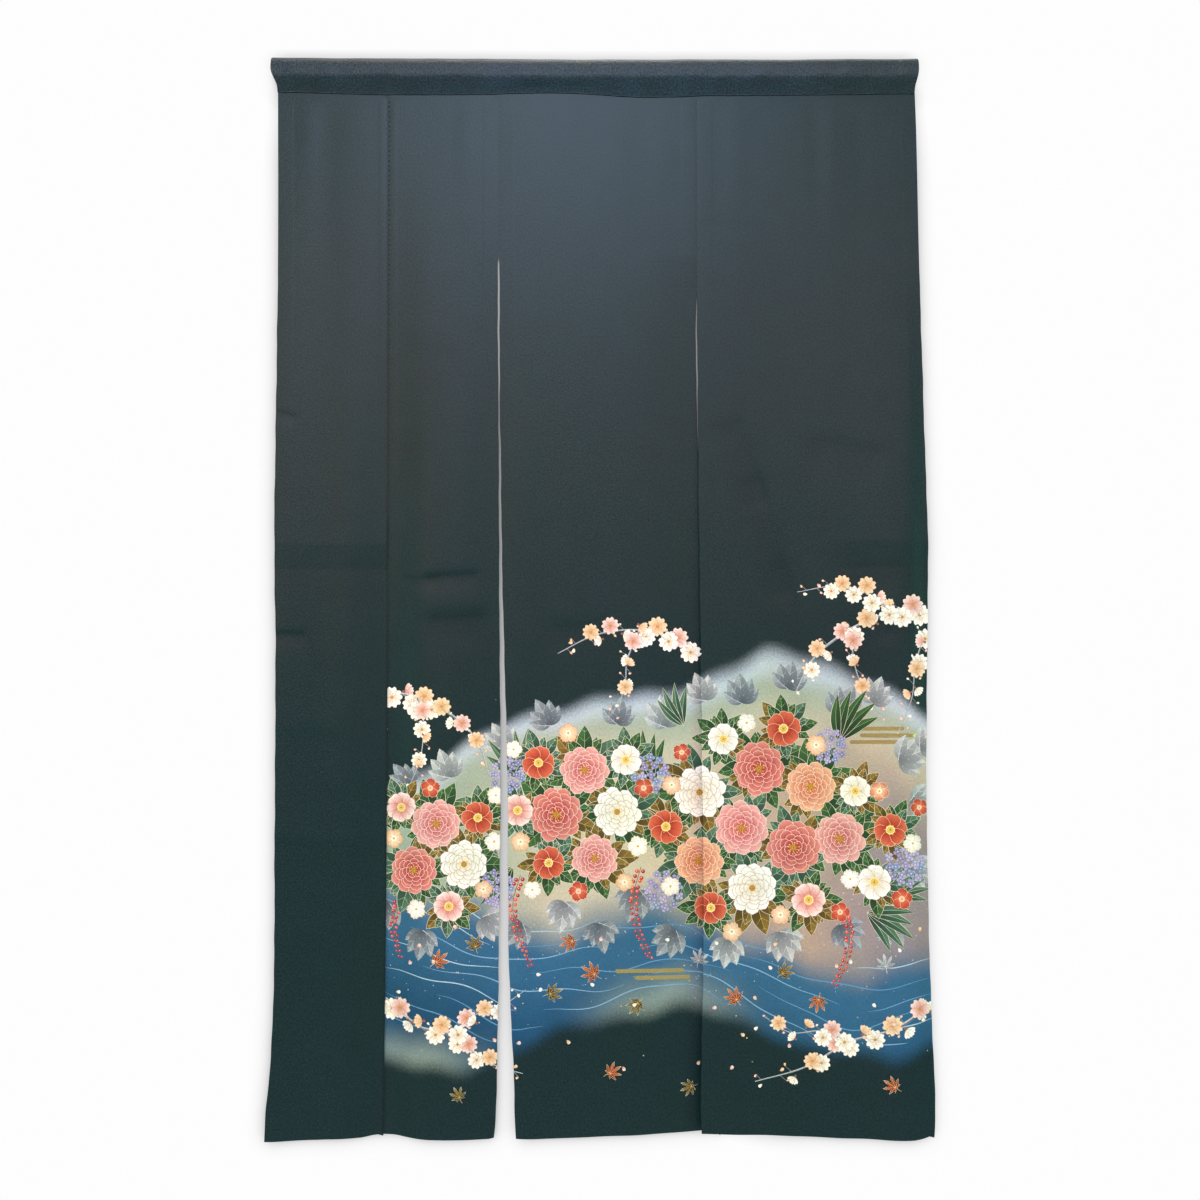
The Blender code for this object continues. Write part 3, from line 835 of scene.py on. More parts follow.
GROUPS = (      # (middle of the group, its flowers: x, height, radius, tones, turn)
    ((222, -1056), (
        (222, -988, 37, CORAL, 40), (292, -1012, 35, APRICOT, 5), (142, -1020, 36, IVORY, 10),
        (330, -1082, 36, ROSE, 60), (256, -934, 24, VERMILION, 15), (174, -948, 22, IVORY, 30),
        (352, -1018, 22, IVORY, 0), (398, -1070, 23, VERMILION, 20), (198, -1068, 38, ROSE, 20),
        (268, -1094, 38, CORAL, 75), (96, -1066, 24, VERMILION, 45), (140, -1112, 34, APRICOT, 0),
        (212, -1148, 35, IVORY, 50), (288, -1164, 24, BLUSH, 10), (156, -1174, 22, VERMILION, 35),
        (376, -1140, 24, IVORY, 25),
    )),
    ((-40, -1046), (
        (-14, -990, 34, ROSE, 70), (-76, -980, 23, VERMILION, 10), (42, -976, 22, IVORY, 40),
        (30, -1046, 34, IVORY, 30), (-52, -1050, 37, CORAL, 0), (-104, -1044, 22, BLUSH, 55),
        (0, -1108, 32, ROSE, 15), (-62, -1114, 22, VERMILION, 20),
    )),
    ((-216, -1096), (
        (-214, -1062, 34, ROSE, 45), (-262, -1040, 21, BLUSH, 20), (-158, -1054, 22, VERMILION, 0),
        (-176, -1116, 33, IVORY, 15), (-244, -1124, 33, CORAL, 60), (-196, -1172, 22, BLUSH, 5),
    )),
)
PEONY_FROM = 28             # flowers of at least this radius are peonies, smaller ones camellias
LEAF_TONES = (GREEN, GREEN, BLUE_GREEN, OLIVE)


def wreath(middle, flowers):
    """Leaves under a group: fanned outwards from each flower, and dark ones between the flowers."""
    for back, sides, jitter, root, size, grow, tones in (
        (0, (-62, 62, -20, 26), 10, 0.5, (1.0, 1.2), 8, LEAF_TONES),
        (180, (-44, 30), 14, 0.55, (0.8, 0.8), 9, (GREEN, OLIVE, BLUE_GREEN)),
    ):
        for x, z, radius, _, _ in flowers:
            away = math.degrees(math.atan2(z - middle[1], x - middle[0])) + back
            for side in sides:
                a = away + side + DICE.uniform(-jitter, jitter)
                long = radius * (DICE.uniform(*size) if size[0] < size[1] else size[0]) + grow
                lobed_leaf(off_by((x, z), a, radius * root), a, long, DICE.choice(tones))


def compose():
    """The whole painting, from the back to the front."""
    water_lines()
    spray_dots(200, -1300, -1130, ((206, 218, 222), (176, 194, 204)), 0.4, 0.8)
    gold_mist((-262, -1024), ((0, 60), (18, 84), (-6, 52)))
    gold_mist((338, -934), ((0, 78), (24, 92), (10, 60)))
    gold_mist((30, -1258), ((0, 88), (26, 70)))
    spray_dots(110, -1380, -880, ((206, 172, 98), (222, 198, 136)), 0.5, 1.1)

    # Soft grey leaves far back, out over the mist and the water
    for at, turn, size in (
        ((96, -932), 100, 46), ((330, -916), 60, 46), ((410, -976), 20, 46), ((426, -1030), 350, 42),
        ((60, -1150), 250, 46), ((110, -1206), 230, 44), ((250, -1206), 290, 46), ((330, -1196), 310, 44),
        ((424, -1120), 330, 44), ((-130, -1110), 200, 44), ((-120, -960), 120, 40), ((-276, -1170), 240, 40),
        ((-150, -1186), 320, 42), ((-40, -1166), 260, 42), ((30, -928), 80, 38), ((200, -900), 95, 42),
        ((392, -1190), 300, 42), ((-230, -1204), 260, 40), ((-196, -1000), 110, 40), ((-250, -1010), 130, 36),
        ((-60, -930), 120, 40), ((150, -896), 110, 40), ((262, -880), 80, 40), ((376, -900), 70, 40),
        ((440, -960), 30, 38), ((6, -1194), 280, 40), ((180, -1216), 260, 40), ((-96, -1196), 230, 38),
    ):
        lobed_leaf(at, turn, size, DICE.choice((GREY_LEAF, SMOKE_LEAF)), 5, None)

    # Hanging cherry over the dark ground, and low branches across the water's edge
    for path, thick, thin, flowers, size, hang in (
        (((-282, -884), (-240, -892), (-196, -914), (-160, -950), (-142, -1000)), 5.5, 1.6, 12, 12.5, 2),
        (((-240, -892), (-232, -930), (-236, -974), (-252, -1014)), 2.6, 0.9, 7, 11.5, 0),
        (((452, -768), (404, -776), (350, -798), (300, -836), (272, -886)), 6.0, 1.6, 13, 13.0, 2),
        (((404, -776), (372, -750), (328, -740), (276, -748)), 3.0, 0.8, 9, 12.0, 0),
        (((350, -798), (352, -842), (366, -884), (392, -922)), 2.6, 0.8, 8, 12.0, 0),
        (((452, -800), (436, -846), (430, -892), (410, -940)), 2.6, 0.8, 8, 12.0, 0),
        (((140, -826), (92, -806), (46, -800), (-2, -808), (-50, -832)), 4.2, 1.0, 12, 12.5, 0),
        (((60, -802), (44, -842), (40, -882), (18, -922)), 2.4, 0.8, 8, 11.5, 0),
        (((452, -1300), (400, -1334), (340, -1352), (280, -1386), (214, -1404)), 5.0, 1.2, 13, 12.5, 0),
        (((340, -1352), (304, -1338), (262, -1340), (226, -1318)), 2.6, 0.8, 7, 11.5, 0),
        (((-282, -1296), (-236, -1330), (-190, -1342), (-146, -1378), (-96, -1392)), 4.6, 1.1, 12, 12.5, 0),
        (((-190, -1342), (-164, -1318), (-128, -1306), (-92, -1282)), 2.4, 0.8, 7, 11.5, 0),
    ):
        blossoming(path, thick, thin, flowers, size, hang)

    # Bamboo behind the flower groups
    for at, turn, length, tones, count, spread in (
        ((-92, -1000), 120, 80, BLUE_GREEN, 5, 64), ((78, -1010), 100, 84, GREEN, 5, 50),
        ((366, -1180), 330, 76, BLUE_GREEN, 5, 60), ((-272, -1070), 100, 70, BLUE_GREEN, 4, 50),
        ((330, -950), 60, 84, GREEN, 5, 60), ((-110, -1120), 220, 70, GREEN, 4, 50),
        ((400, -1160), 20, 60, BLUE_GREEN, 4, 50), ((120, -930), 110, 64, BLUE_GREEN, 4, 50),
    ):
        blades(at, turn, length, tones, count, spread)

    # Berry sprays hanging under the groups
    for path, size in (
        (((-100, -1130), (-110, -1170), (-102, -1212), (-86, -1250)), 2.8),
        (((62, -1120), (52, -1160), (58, -1204), (74, -1240)), 2.8),
        (((-264, -1160), (-272, -1200), (-262, -1240)), 2.6),
        (((330, -1170), (342, -1206), (336, -1246), (322, -1276)), 2.8),
    ):
        berries(path, size)

    for middle, flowers in GROUPS:
        wreath(middle, flowers)
    for spot, radius, turn in (((-118, -996), 22, 0), ((76, -996), 24, 10), ((-132, -1150), 23, 20),
                               ((418, -1118), 25, 5), ((92, -1152), 24, 30), ((318, -958), 22, 15)):
        hydrangea(spot, radius, turn)
    for _, flowers in GROUPS:
        for x, z, radius, tones, turn in flowers:
            (peony if radius >= PEONY_FROM else camellia)((x, z), radius, tones, turn)

    # Wild pinks between the groups
    for at, radius, tones in (
        ((-36, -940), 13, PEACH), ((66, -1014), 13, VERMILION), ((-100, -1086), 13, PEACH),
        ((58, -1092), 14, IVORY), ((-134, -1024), 12, IVORY), ((-136, -1086), 13, IVORY),
        ((-272, -1082), 13, PEACH), ((-150, -1150), 12, PEACH), ((-222, -1014), 13, VERMILION),
        ((-240, -1176), 13, IVORY), ((104, -1010), 13, PEACH), ((206, -926), 13, IVORY),
        ((300, -956), 14, PEACH), ((384, -1018), 13, APRICOT), ((428, -1088), 13, IVORY),
        ((412, -1162), 14, VERMILION), ((344, -1136), 13, IVORY), ((250, -1184), 13, PEACH),
        ((330, -1180), 13, VERMILION), ((102, -1146), 13, IVORY), ((184, -1206), 13, PEACH),
        ((-22, -1152), 13, VERMILION), ((-84, -1150), 12, IVORY), ((40, -1140), 12, PEACH),
        ((118, -966), 12, VERMILION), ((438, -1040), 12, VERMILION), ((-110, -962), 12, IVORY),
    ):
        fringed_pink(at, radius, tones, DICE.uniform(0, 72))

    # Maple leaves and fallen petals on the water and the dark ground
    for at, turn, size, tones in (
        ((-212, -1246), 40, 19, RUST), ((-160, -1226), 110, 17, OLIVE), ((-30, -1218), 200, 18, RUST),
        ((-60, -1288), 20, 18, OLIVE), ((0, -1262), 150, 20, RUST), ((140, -1246), 80, 17, GREY_LEAF),
        ((58, -1300), 230, 18, OLIVE), ((190, -1296), 130, 19, RUST), ((252, -1262), 40, 17, OLIVE),
        ((300, -1296), 260, 18, RUST), ((390, -1252), 100, 17, GREY_LEAF), ((20, -1392), 30, 17, RUST),
        ((-180, -1424), 120, 15, OLIVE), ((130, -1412), 200, 16, OLIVE), ((400, -1410), 150, 17, RUST),
    ):
        maple_leaf(at, turn, size, tones)
    for _ in range(34):
        spot, turn = (DICE.uniform(-278, 446), DICE.uniform(-1400, -1200)), DICE.uniform(0, 360)
        base, tip, _ = DICE.choice((IVORY, BLUSH, PEACH))
        petal(spot, turn, 6.5, 5.2, base, tip, notch=0.2, sides=9)


# ---- 4. Sheets from the painting
def triangulate(panel):
    """Triangles of a sheet that follow every painted outline, and the top shape on each."""
    outline = panel.outline()
    points = [outline]
    faces = [list(range(len(outline)))]
    shown = [-1]
    low, high = outline.min(0), outline.max(0)
    count = len(outline)
    for index, shape in enumerate(PAINT if panel.painted else ()):
        ring = shape[0]
        if (ring.max(0) < low).any() or (ring.min(0) > high).any():
            continue
        faces.append(list(range(count, count + len(ring))))
        points.append(ring)
        shown.append(index)
        count += len(ring)
    box_low = np.array([p.min(0) for p in points]) - 0.01
    box_high = np.array([p.max(0) for p in points]) + 0.01
    everything = [Vector(p) for p in np.concatenate(points)]
    verts, _, tris, _, _, sources = delaunay_2d_cdt(everything, [], faces, 0, 1e-4, True)
    verts, tris = np.array(verts), np.array(tris)
    centres = verts[tris].mean(1)
    owner = np.repeat(np.arange(len(tris)), [len(s) for s in sources])
    source = np.array([k for s in sources for k in s])
    within = ((centres[owner] > box_low[source]) & (centres[owner] < box_high[source])).all(1)
    top = np.full(len(tris), -1)
    np.maximum.at(top, owner[within], source[within])
    sheet_of = np.zeros(len(tris), bool)
    sheet_of[owner[source == 0]] = True
    label = np.where(sheet_of, np.array(shown)[top], OUTSIDE)
    return seen_outlines(verts, tris, label, panel.inner_points())


def edge_table(tris):
    """Every triangle's three directed edges, in order of the undirected edge: (from, to, triangle, new)."""
    start = tris.reshape(-1)
    end = np.roll(tris, -1, axis=1).reshape(-1)
    owner = np.repeat(np.arange(len(tris)), 3)
    key = np.minimum(start, end).astype(np.int64) * (tris.max() + 1) + np.maximum(start, end)
    order = np.argsort(key, kind="stable")
    return start[order], end[order], owner[order], key[order]


def seen_outlines(verts, tris, label, inner):
    """Triangles again, from the outlines that stay in sight and the inner points alone."""
    start, end, owner, key = edge_table(tris)
    paired = np.append(key[1:] == key[:-1], False)
    first = np.flatnonzero(paired)
    seen = label[owner[first]] != label[owner[first + 1]]
    first = first[seen]
    single = np.flatnonzero(~paired & ~np.insert(paired[:-1], 0, False) & (label[owner] != OUTSIDE))
    a = np.concatenate([start[first], start[single]])
    b = np.concatenate([end[first], end[single]])
    on_left = np.concatenate([label[owner[first]], label[owner[single]]])
    on_right = np.concatenate([label[owner[first + 1]], np.full(len(single), OUTSIDE)])
    used, place = np.unique(np.concatenate([a, b]), return_inverse=True)
    ends = place.reshape(2, -1).T
    points = np.concatenate([verts[used], inner])
    made, edges, faces, _, lineage, _ = delaunay_2d_cdt(
        [Vector(p) for p in points], ends.tolist(), [], 0, 1e-4, True)
    made, faces = np.array(made), np.array(faces)
    fixed = [i for i, line in enumerate(lineage) if line]
    line = np.array([lineage[i][0] for i in fixed])
    pair = np.array(edges)[fixed]
    along = made[pair[:, 1]] - made[pair[:, 0]]
    same_way = (along * (points[ends[line, 1]] - points[ends[line, 0]])).sum(1) > 0
    left = np.where(same_way, on_left[line], on_right[line])
    right = np.where(same_way, on_right[line], on_left[line])
    size = faces.max() + 1
    forward = pair[:, 0].astype(np.int64) * size + pair[:, 1]
    reverse = pair[:, 1].astype(np.int64) * size + pair[:, 0]
    sided = np.concatenate([forward, reverse])
    sided_label = np.concatenate([left, right])
    order = np.argsort(sided)
    sided, sided_label = sided[order], sided_label[order]
    start, end, owner, key = edge_table(faces)
    directed = start.astype(np.int64) * size + end
    spot = np.clip(np.searchsorted(sided, directed), 0, len(sided) - 1)
    is_fixed = sided[spot] == directed
    found = np.full(len(faces), UNKNOWN)
    found[owner[is_fixed]] = sided_label[spot[is_fixed]]
    joined = np.flatnonzero(np.append(key[1:] == key[:-1], False) & ~is_fixed)
    one, other = owner[joined], owner[joined + 1]
    while True:
        to_one = (found[one] == UNKNOWN) & (found[other] != UNKNOWN)
        to_other = (found[other] == UNKNOWN) & (found[one] != UNKNOWN)
        if not (to_one.any() or to_other.any()):
            break
        found[one[to_one]] = found[other[to_one]]
        found[other[to_other]] = found[one[to_other]]
    keep = (found != OUTSIDE) & (found != UNKNOWN)
    return made, faces[keep], found[keep]


def corner_colours(points, tris, top, panel):
    """Colour and gold share of every corner of every triangle, with painted shade in the grooves and creases.
    """
    corners = points[tris]
    flat = corners.reshape(-1, 2)
    ground, dyed = ground_colour(*flat.T)
    if not panel.painted:
        ground, dyed = np.tile(linear(DARK), (len(flat), 1)), np.zeros(len(flat))
    colour = np.concatenate([ground, 0.25 * dyed[:, None]], 1).reshape(-1, 3, 4)
    if (top >= 0).any():
        base, tip, start, end, gold = (np.array([shape[k] for shape in PAINT]) for k in range(1, 6))
        run = end - start
        on = top >= 0
        s = top[on]
        offset = corners[on] - start[s][:, None]
        share = np.einsum("ijk,ik->ij", offset, run[s]) / np.maximum((run[s] ** 2).sum(1), 1e-9)[:, None]
        share = np.clip(share, 0, 1)[:, :, None]
        colour[on, :, :3] = base[s][:, None] * (1 - share) + tip[s][:, None] * share
        colour[on, :, 3] = np.where(gold[s] > 0, 1.0, 0.5)[:, None]
    # Painted shade: darker where the front draws back into a sewn groove and in the creases' troughs
    shade = 1 - PAINTED_GROOVE_SHADE * np.clip(panel.grooved(*flat.T), 0, 1)
    shade *= 1 - PAINTED_CREASE_SHADE * np.clip(crease_depth(*flat.T), 0, 1)
    colour[:, :, :3] *= shade.reshape(-1, 3, 1)
    return colour


def surface_normals(height, x, z, facing):
    """Normals of a depth surface y = height(x, z), facing -1 to the front or +1 to the back."""
    d = 0.6
    slope_x = (height(x + d, z) - height(x - d, z)) / (2 * d)
    slope_z = (height(x, z + d) - height(x, z - d)) / (2 * d)
    normal = np.stack([-slope_x, np.ones_like(x), -slope_z], 1) * facing
    return normal / np.linalg.norm(normal, axis=1, keepdims=True)


def make_mesh(name, points, faces, normals, colours, cloth_map, bake_map, material):
    """Mesh object with its own normals, dye colours with painted shade, and maps; faces is a list of arrays
    of corners.
    """
    data = bpy.data.meshes.new(name)
    data.from_pydata((points * MM).tolist(), [], [f for group in faces for f in group.tolist()])
    # The colour attribute holds the dye and the painted shade of grooves and creases
    dye_and_painted_shade = data.color_attributes.new("dye_and_painted_shade", "FLOAT_COLOR", "CORNER")
    dye_and_painted_shade.data.foreach_set("color", colours.astype(np.float32).ravel())
    for map_name, values in (("Cloth", cloth_map), ("OFBake", bake_map)):
        layer = data.uv_layers.new(name=map_name)
        layer.data.foreach_set("uv", values.astype(np.float32).ravel())
    data.uv_layers["Cloth"].active_render = True
    data.shade_smooth()
    data.normals_split_custom_set_from_vertices(normals.tolist())
    data.materials.append(material)
    data.update()
    return add_object(name, data)


def showing_through(panel, points, tris, colour, wanted):
    """Colours at the wanted points of the back: the painting of the front, soft and faint."""
    side_one, side_two = points[tris[:, 1]] - points[tris[:, 0]], points[tris[:, 2]] - points[tris[:, 0]]
    area = np.abs(side_one[:, 0] * side_two[:, 1] - side_one[:, 1] * side_two[:, 0])
    low = points.min(0) - 2 * BLUR
    columns = int(np.ceil((points[:, 1].max() - low[1]) / BLUR)) + 3
    cells = (int(np.ceil((points[:, 0].max() - low[0]) / BLUR)) + 3) * columns
    total, dyed = np.zeros(cells), np.zeros((cells, 3))
    spot = np.rint((points[tris].mean(1) - low) / BLUR).astype(int)
    spot = spot[:, 0] * columns + spot[:, 1]
    np.add.at(total, spot, area)
    np.add.at(dyed, spot, colour[:, :, :3].mean(1) * area[:, None])
    place = (wanted - low) / BLUR
    corner = np.floor(place).astype(int)
    part = place - corner
    plain = ground_colour(*wanted.T)[0] if panel.painted else linear(DARK)
    weight, shown = np.full(len(wanted), 1e-9), np.zeros((len(wanted), 3)) + 1e-9 * plain
    for i, j in ((0, 0), (0, 1), (1, 0), (1, 1)):
        share = np.abs(1 - i - part[:, 0]) * np.abs(1 - j - part[:, 1])
        cell = (corner[:, 0] + i) * columns + corner[:, 1] + j
        weight += share * total[cell]
        shown += share[:, None] * dyed[cell]
    shown = shown / weight[:, None] * BACK_SHOWS + linear(DARK) * (1 - BACK_SHOWS)
    return np.concatenate([shown, np.zeros((len(wanted), 1))], 1)


def inside_loop(spots, loop):
    """Which spots lie inside a closed loop."""
    after = np.roll(loop, -1, axis=0)
    found = []
    for x, z in spots.tolist():
        at = np.flatnonzero((loop[:, 1] > z) != (after[:, 1] > z))
        share = (z - loop[at, 1]) / (after[at, 1] - loop[at, 1])
        found.append((loop[at, 0] + share * (after[at, 0] - loop[at, 0]) > x).sum() % 2 == 1)
    return np.array(found)


def back_sheet(panel, points, rim):
    """Points and triangles of the back inside the front's own boundary, and where its boundary points are."""
    after = dict(rim)
    loop = [rim[0][0]]
    while after[loop[-1]] != loop[0]:
        loop.append(after[loop[-1]])
    rows = [points[loop]]
    for height in panel.back_heights():
        left, right = float(panel.left(height)), float(panel.right(height))
        across = [left + 3, left + panel.turnings[0] - 0.2, left + panel.turnings[0] + TURNING_STEP + 0.2]
        across += [right - panel.turnings[1] - TURNING_STEP - 0.2, right - panel.turnings[1] + 0.2, right - 3]
        spacing = BACK_SPACING if panel.painted and height < PAINTED_FROM else 2 * BACK_SPACING
        across += spaced(left + 6, right - 6, spacing).tolist()
        rows.append(rows_at(across, height))
    made, _, faces, origin, _, _ = delaunay_2d_cdt(
        [Vector(p) for p in np.concatenate(rows)], [], [list(range(len(loop)))], 0, 1e-4, True)
    made, faces = np.array(made), np.array(faces)
    place = {loop[k]: i for i, sources in enumerate(origin) for k in sources if k < len(loop)}
    return made, faces[inside_loop(made[faces].mean(1), points[loop])], place


def sheet(panel, material):
    """The finished sheet: painted front, fainter back, and rounded folded edges."""
    points, tris, top = triangulate(panel)
    used, place = np.unique(tris, return_inverse=True)
    points, tris = points[used], place.reshape(-1, 3)
    x, z = points[:, 0], points[:, 1]
    count = len(points)
    front = np.stack([x, panel.front(x, z), z], 1)
    front_normal = surface_normals(panel.front, x, z, -1)
    colour = corner_colours(points, tris, top, panel)

    # Boundary: directed edges that no neighbour shares
    edges = {}
    for f, (a, b, c) in enumerate(tris.tolist()):
        edges[(a, b)] = (f, 0, 1)
        edges[(b, c)] = (f, 1, 2)
        edges[(c, a)] = (f, 2, 0)
    rim = [(e, owner) for e, owner in edges.items() if (e[1], e[0]) not in edges]
    back_points, back_tris, place = back_sheet(panel, points, [e for e, _ in rim])
    back_count = len(back_points)
    back = np.stack([back_points[:, 0], panel.back(*back_points.T), back_points[:, 1]], 1)
    back_normal = surface_normals(panel.back, *back_points.T, 1)
    back_colour = showing_through(panel, points, tris, colour, back_points)[back_tris]
    outward = np.zeros((count, 2))
    for (a, b), _ in rim:
        run = points[b] - points[a]
        side = np.array([run[1], -run[0]]) / max(np.hypot(*run), 1e-9)
        outward[a] += side
        outward[b] += side
    on_rim = np.array(sorted({a for (a, _), _ in rim}))
    outward[on_rim] /= np.linalg.norm(outward[on_rim], axis=1, keepdims=True)
    middle_of = np.full(count, -1)
    middle_of[on_rim] = np.arange(len(on_rim)) + count + back_count
    back_of = {a: place[a] + count for a in on_rim.tolist()}
    side = (x[on_rim] > (panel.left(z[on_rim]) + panel.right(z[on_rim])) / 2).astype(int)
    free = np.where(side == 0, panel.free(0, z[on_rim]), panel.free(1, z[on_rim]))
    bulge = EDGE_ROUND * free
    middle = np.stack([
        x[on_rim] + bulge * outward[on_rim, 0],
        (front[on_rim, 1] + panel.back(x[on_rim], z[on_rim])) / 2,
        z[on_rim] + bulge * outward[on_rim, 1],
    ], 1)
    middle_normal = np.stack([outward[on_rim, 0], np.zeros(len(on_rim)), outward[on_rim, 1]], 1)
    rim_front = np.array([(b, a, middle_of[a], middle_of[b]) for (a, b), _ in rim])
    rim_back = np.array([(middle_of[b], middle_of[a], back_of[a], back_of[b]) for (a, b), _ in rim])
    rim_colour = np.array([[colour[f, j], colour[f, i], colour[f, i], colour[f, j]] for _, (f, i, j) in rim])

    back_faces = back_tris[:, ::-1] + count
    back_colour = back_colour[:, ::-1]
    faces = [tris, back_faces, rim_front, rim_back]
    colours = np.concatenate([c.reshape(-1, 4) for c in (colour, back_colour, rim_colour, rim_colour)])
    all_points = np.concatenate([front, back, middle])
    normals = np.concatenate([front_normal, back_normal, middle_normal])
    corners = np.concatenate([f.reshape(-1) for f in faces])
    flat = all_points[:, [0, 2]]
    low, high = flat.min(0), flat.max(0)
    share = (flat - low) / (high - low)
    bake = []
    for group, left, width in ((tris, 0.005, 0.60), (back_faces, 0.62, 0.33)):
        spot = share[group.reshape(-1)]
        bake.append(np.stack([left + width * spot[:, 0], 0.005 + 0.99 * spot[:, 1]], 1))
    for group, left in ((rim_front, 0.96), (rim_back, 0.98)):
        steps = np.arange(len(group)) / len(group)
        one = 1 / len(group)
        v = np.stack([steps + one, steps, steps, steps + one], 1).reshape(-1)
        u = np.tile([left, left, left + 0.015, left + 0.015], len(group))
        bake.append(np.stack([u, v], 1))
    piece = make_mesh(panel.name, all_points, faces, normals, colours, flat[corners] * MM,
                      np.concatenate(bake), material)
    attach(piece, ROOT)
    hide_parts(panel.node)
    return piece


# ---- 5. Sleeve
def sleeve_profile():
    """Front half of the sleeve's section, crest first: (forward, height, normal forward, normal up)."""
    belly = SLEEVE_DEPTH / 2
    turn_in = math.radians(TURN_IN)
    lip_face = SOLID_CLOTH / 2 + SEAM_GAP + SLEEVE_CLOTH
    points = []
    for a in np.linspace(0, math.pi / 2, 19):
        points.append((belly * math.sin(a), SHOULDER * (math.cos(a) - 1), math.sin(a), math.cos(a)))
    for share in (0.33, 0.66):
        points.append((belly, -SHOULDER - UPRIGHT * share, 1.0, 0.0))
    for a in np.linspace(0, turn_in, 9):
        forward = belly - LOWER_CORNER * (1 - math.cos(a))
        points.append((forward, -SHOULDER - UPRIGHT - LOWER_CORNER * math.sin(a), math.cos(a), -math.sin(a)))
    hollow_centre = lip_face + HOLLOW
    slant = points[-1][0] - (hollow_centre - HOLLOW * math.cos(turn_in))
    hollow_top = points[-1][1] - slant / math.tan(turn_in)
    last = points[-1]
    for share in (0.2, 0.4, 0.6, 0.8):
        points.append((last[0] - slant * share, last[1] + (hollow_top - last[1]) * share, last[2], last[3]))
    for a in np.linspace(turn_in, 0, 6):
        height = hollow_top - HOLLOW * (math.sin(turn_in) - math.sin(a))
        points.append((hollow_centre - HOLLOW * math.cos(a), height, math.cos(a), -math.sin(a)))
    low = points[-1][1]
    for share in (0.35, 0.7, 1.0):
        points.append((lip_face, low + (-STITCH_LINE - LIP - low) * share, 1.0, 0.0))
    return points


def crinkle(x, height):
    """Small uneven wrinkles of the sleeve's cloth, deeper towards the stitch line."""
    near_stitch = np.exp(-((height + 36) / 13) ** 2)
    waves = 0.32 * np.sin(x / 7.9 + 0.08 * height) * np.sin(x / 41.0 + 1)
    waves += 0.40 * np.sin(x / 17.3 - 0.05 * height + 2) * np.sin(x / 67.0)
    crown = 0.22 * np.sin(x / 11.0 + 0.11 * height) * np.sin(x / 53.0 + 2) * np.exp(-((height + 8) / 12) ** 2)
    belt = 0.50 * np.sin(x / 9.7) * np.sin(x / 23.0 + 1) + 0.40 * np.sin(x / 5.3 + 2) * np.sin(x / 31.0)
    return waves * near_stitch + crown + belt * np.exp(-((height + 25) / 7) ** 2)


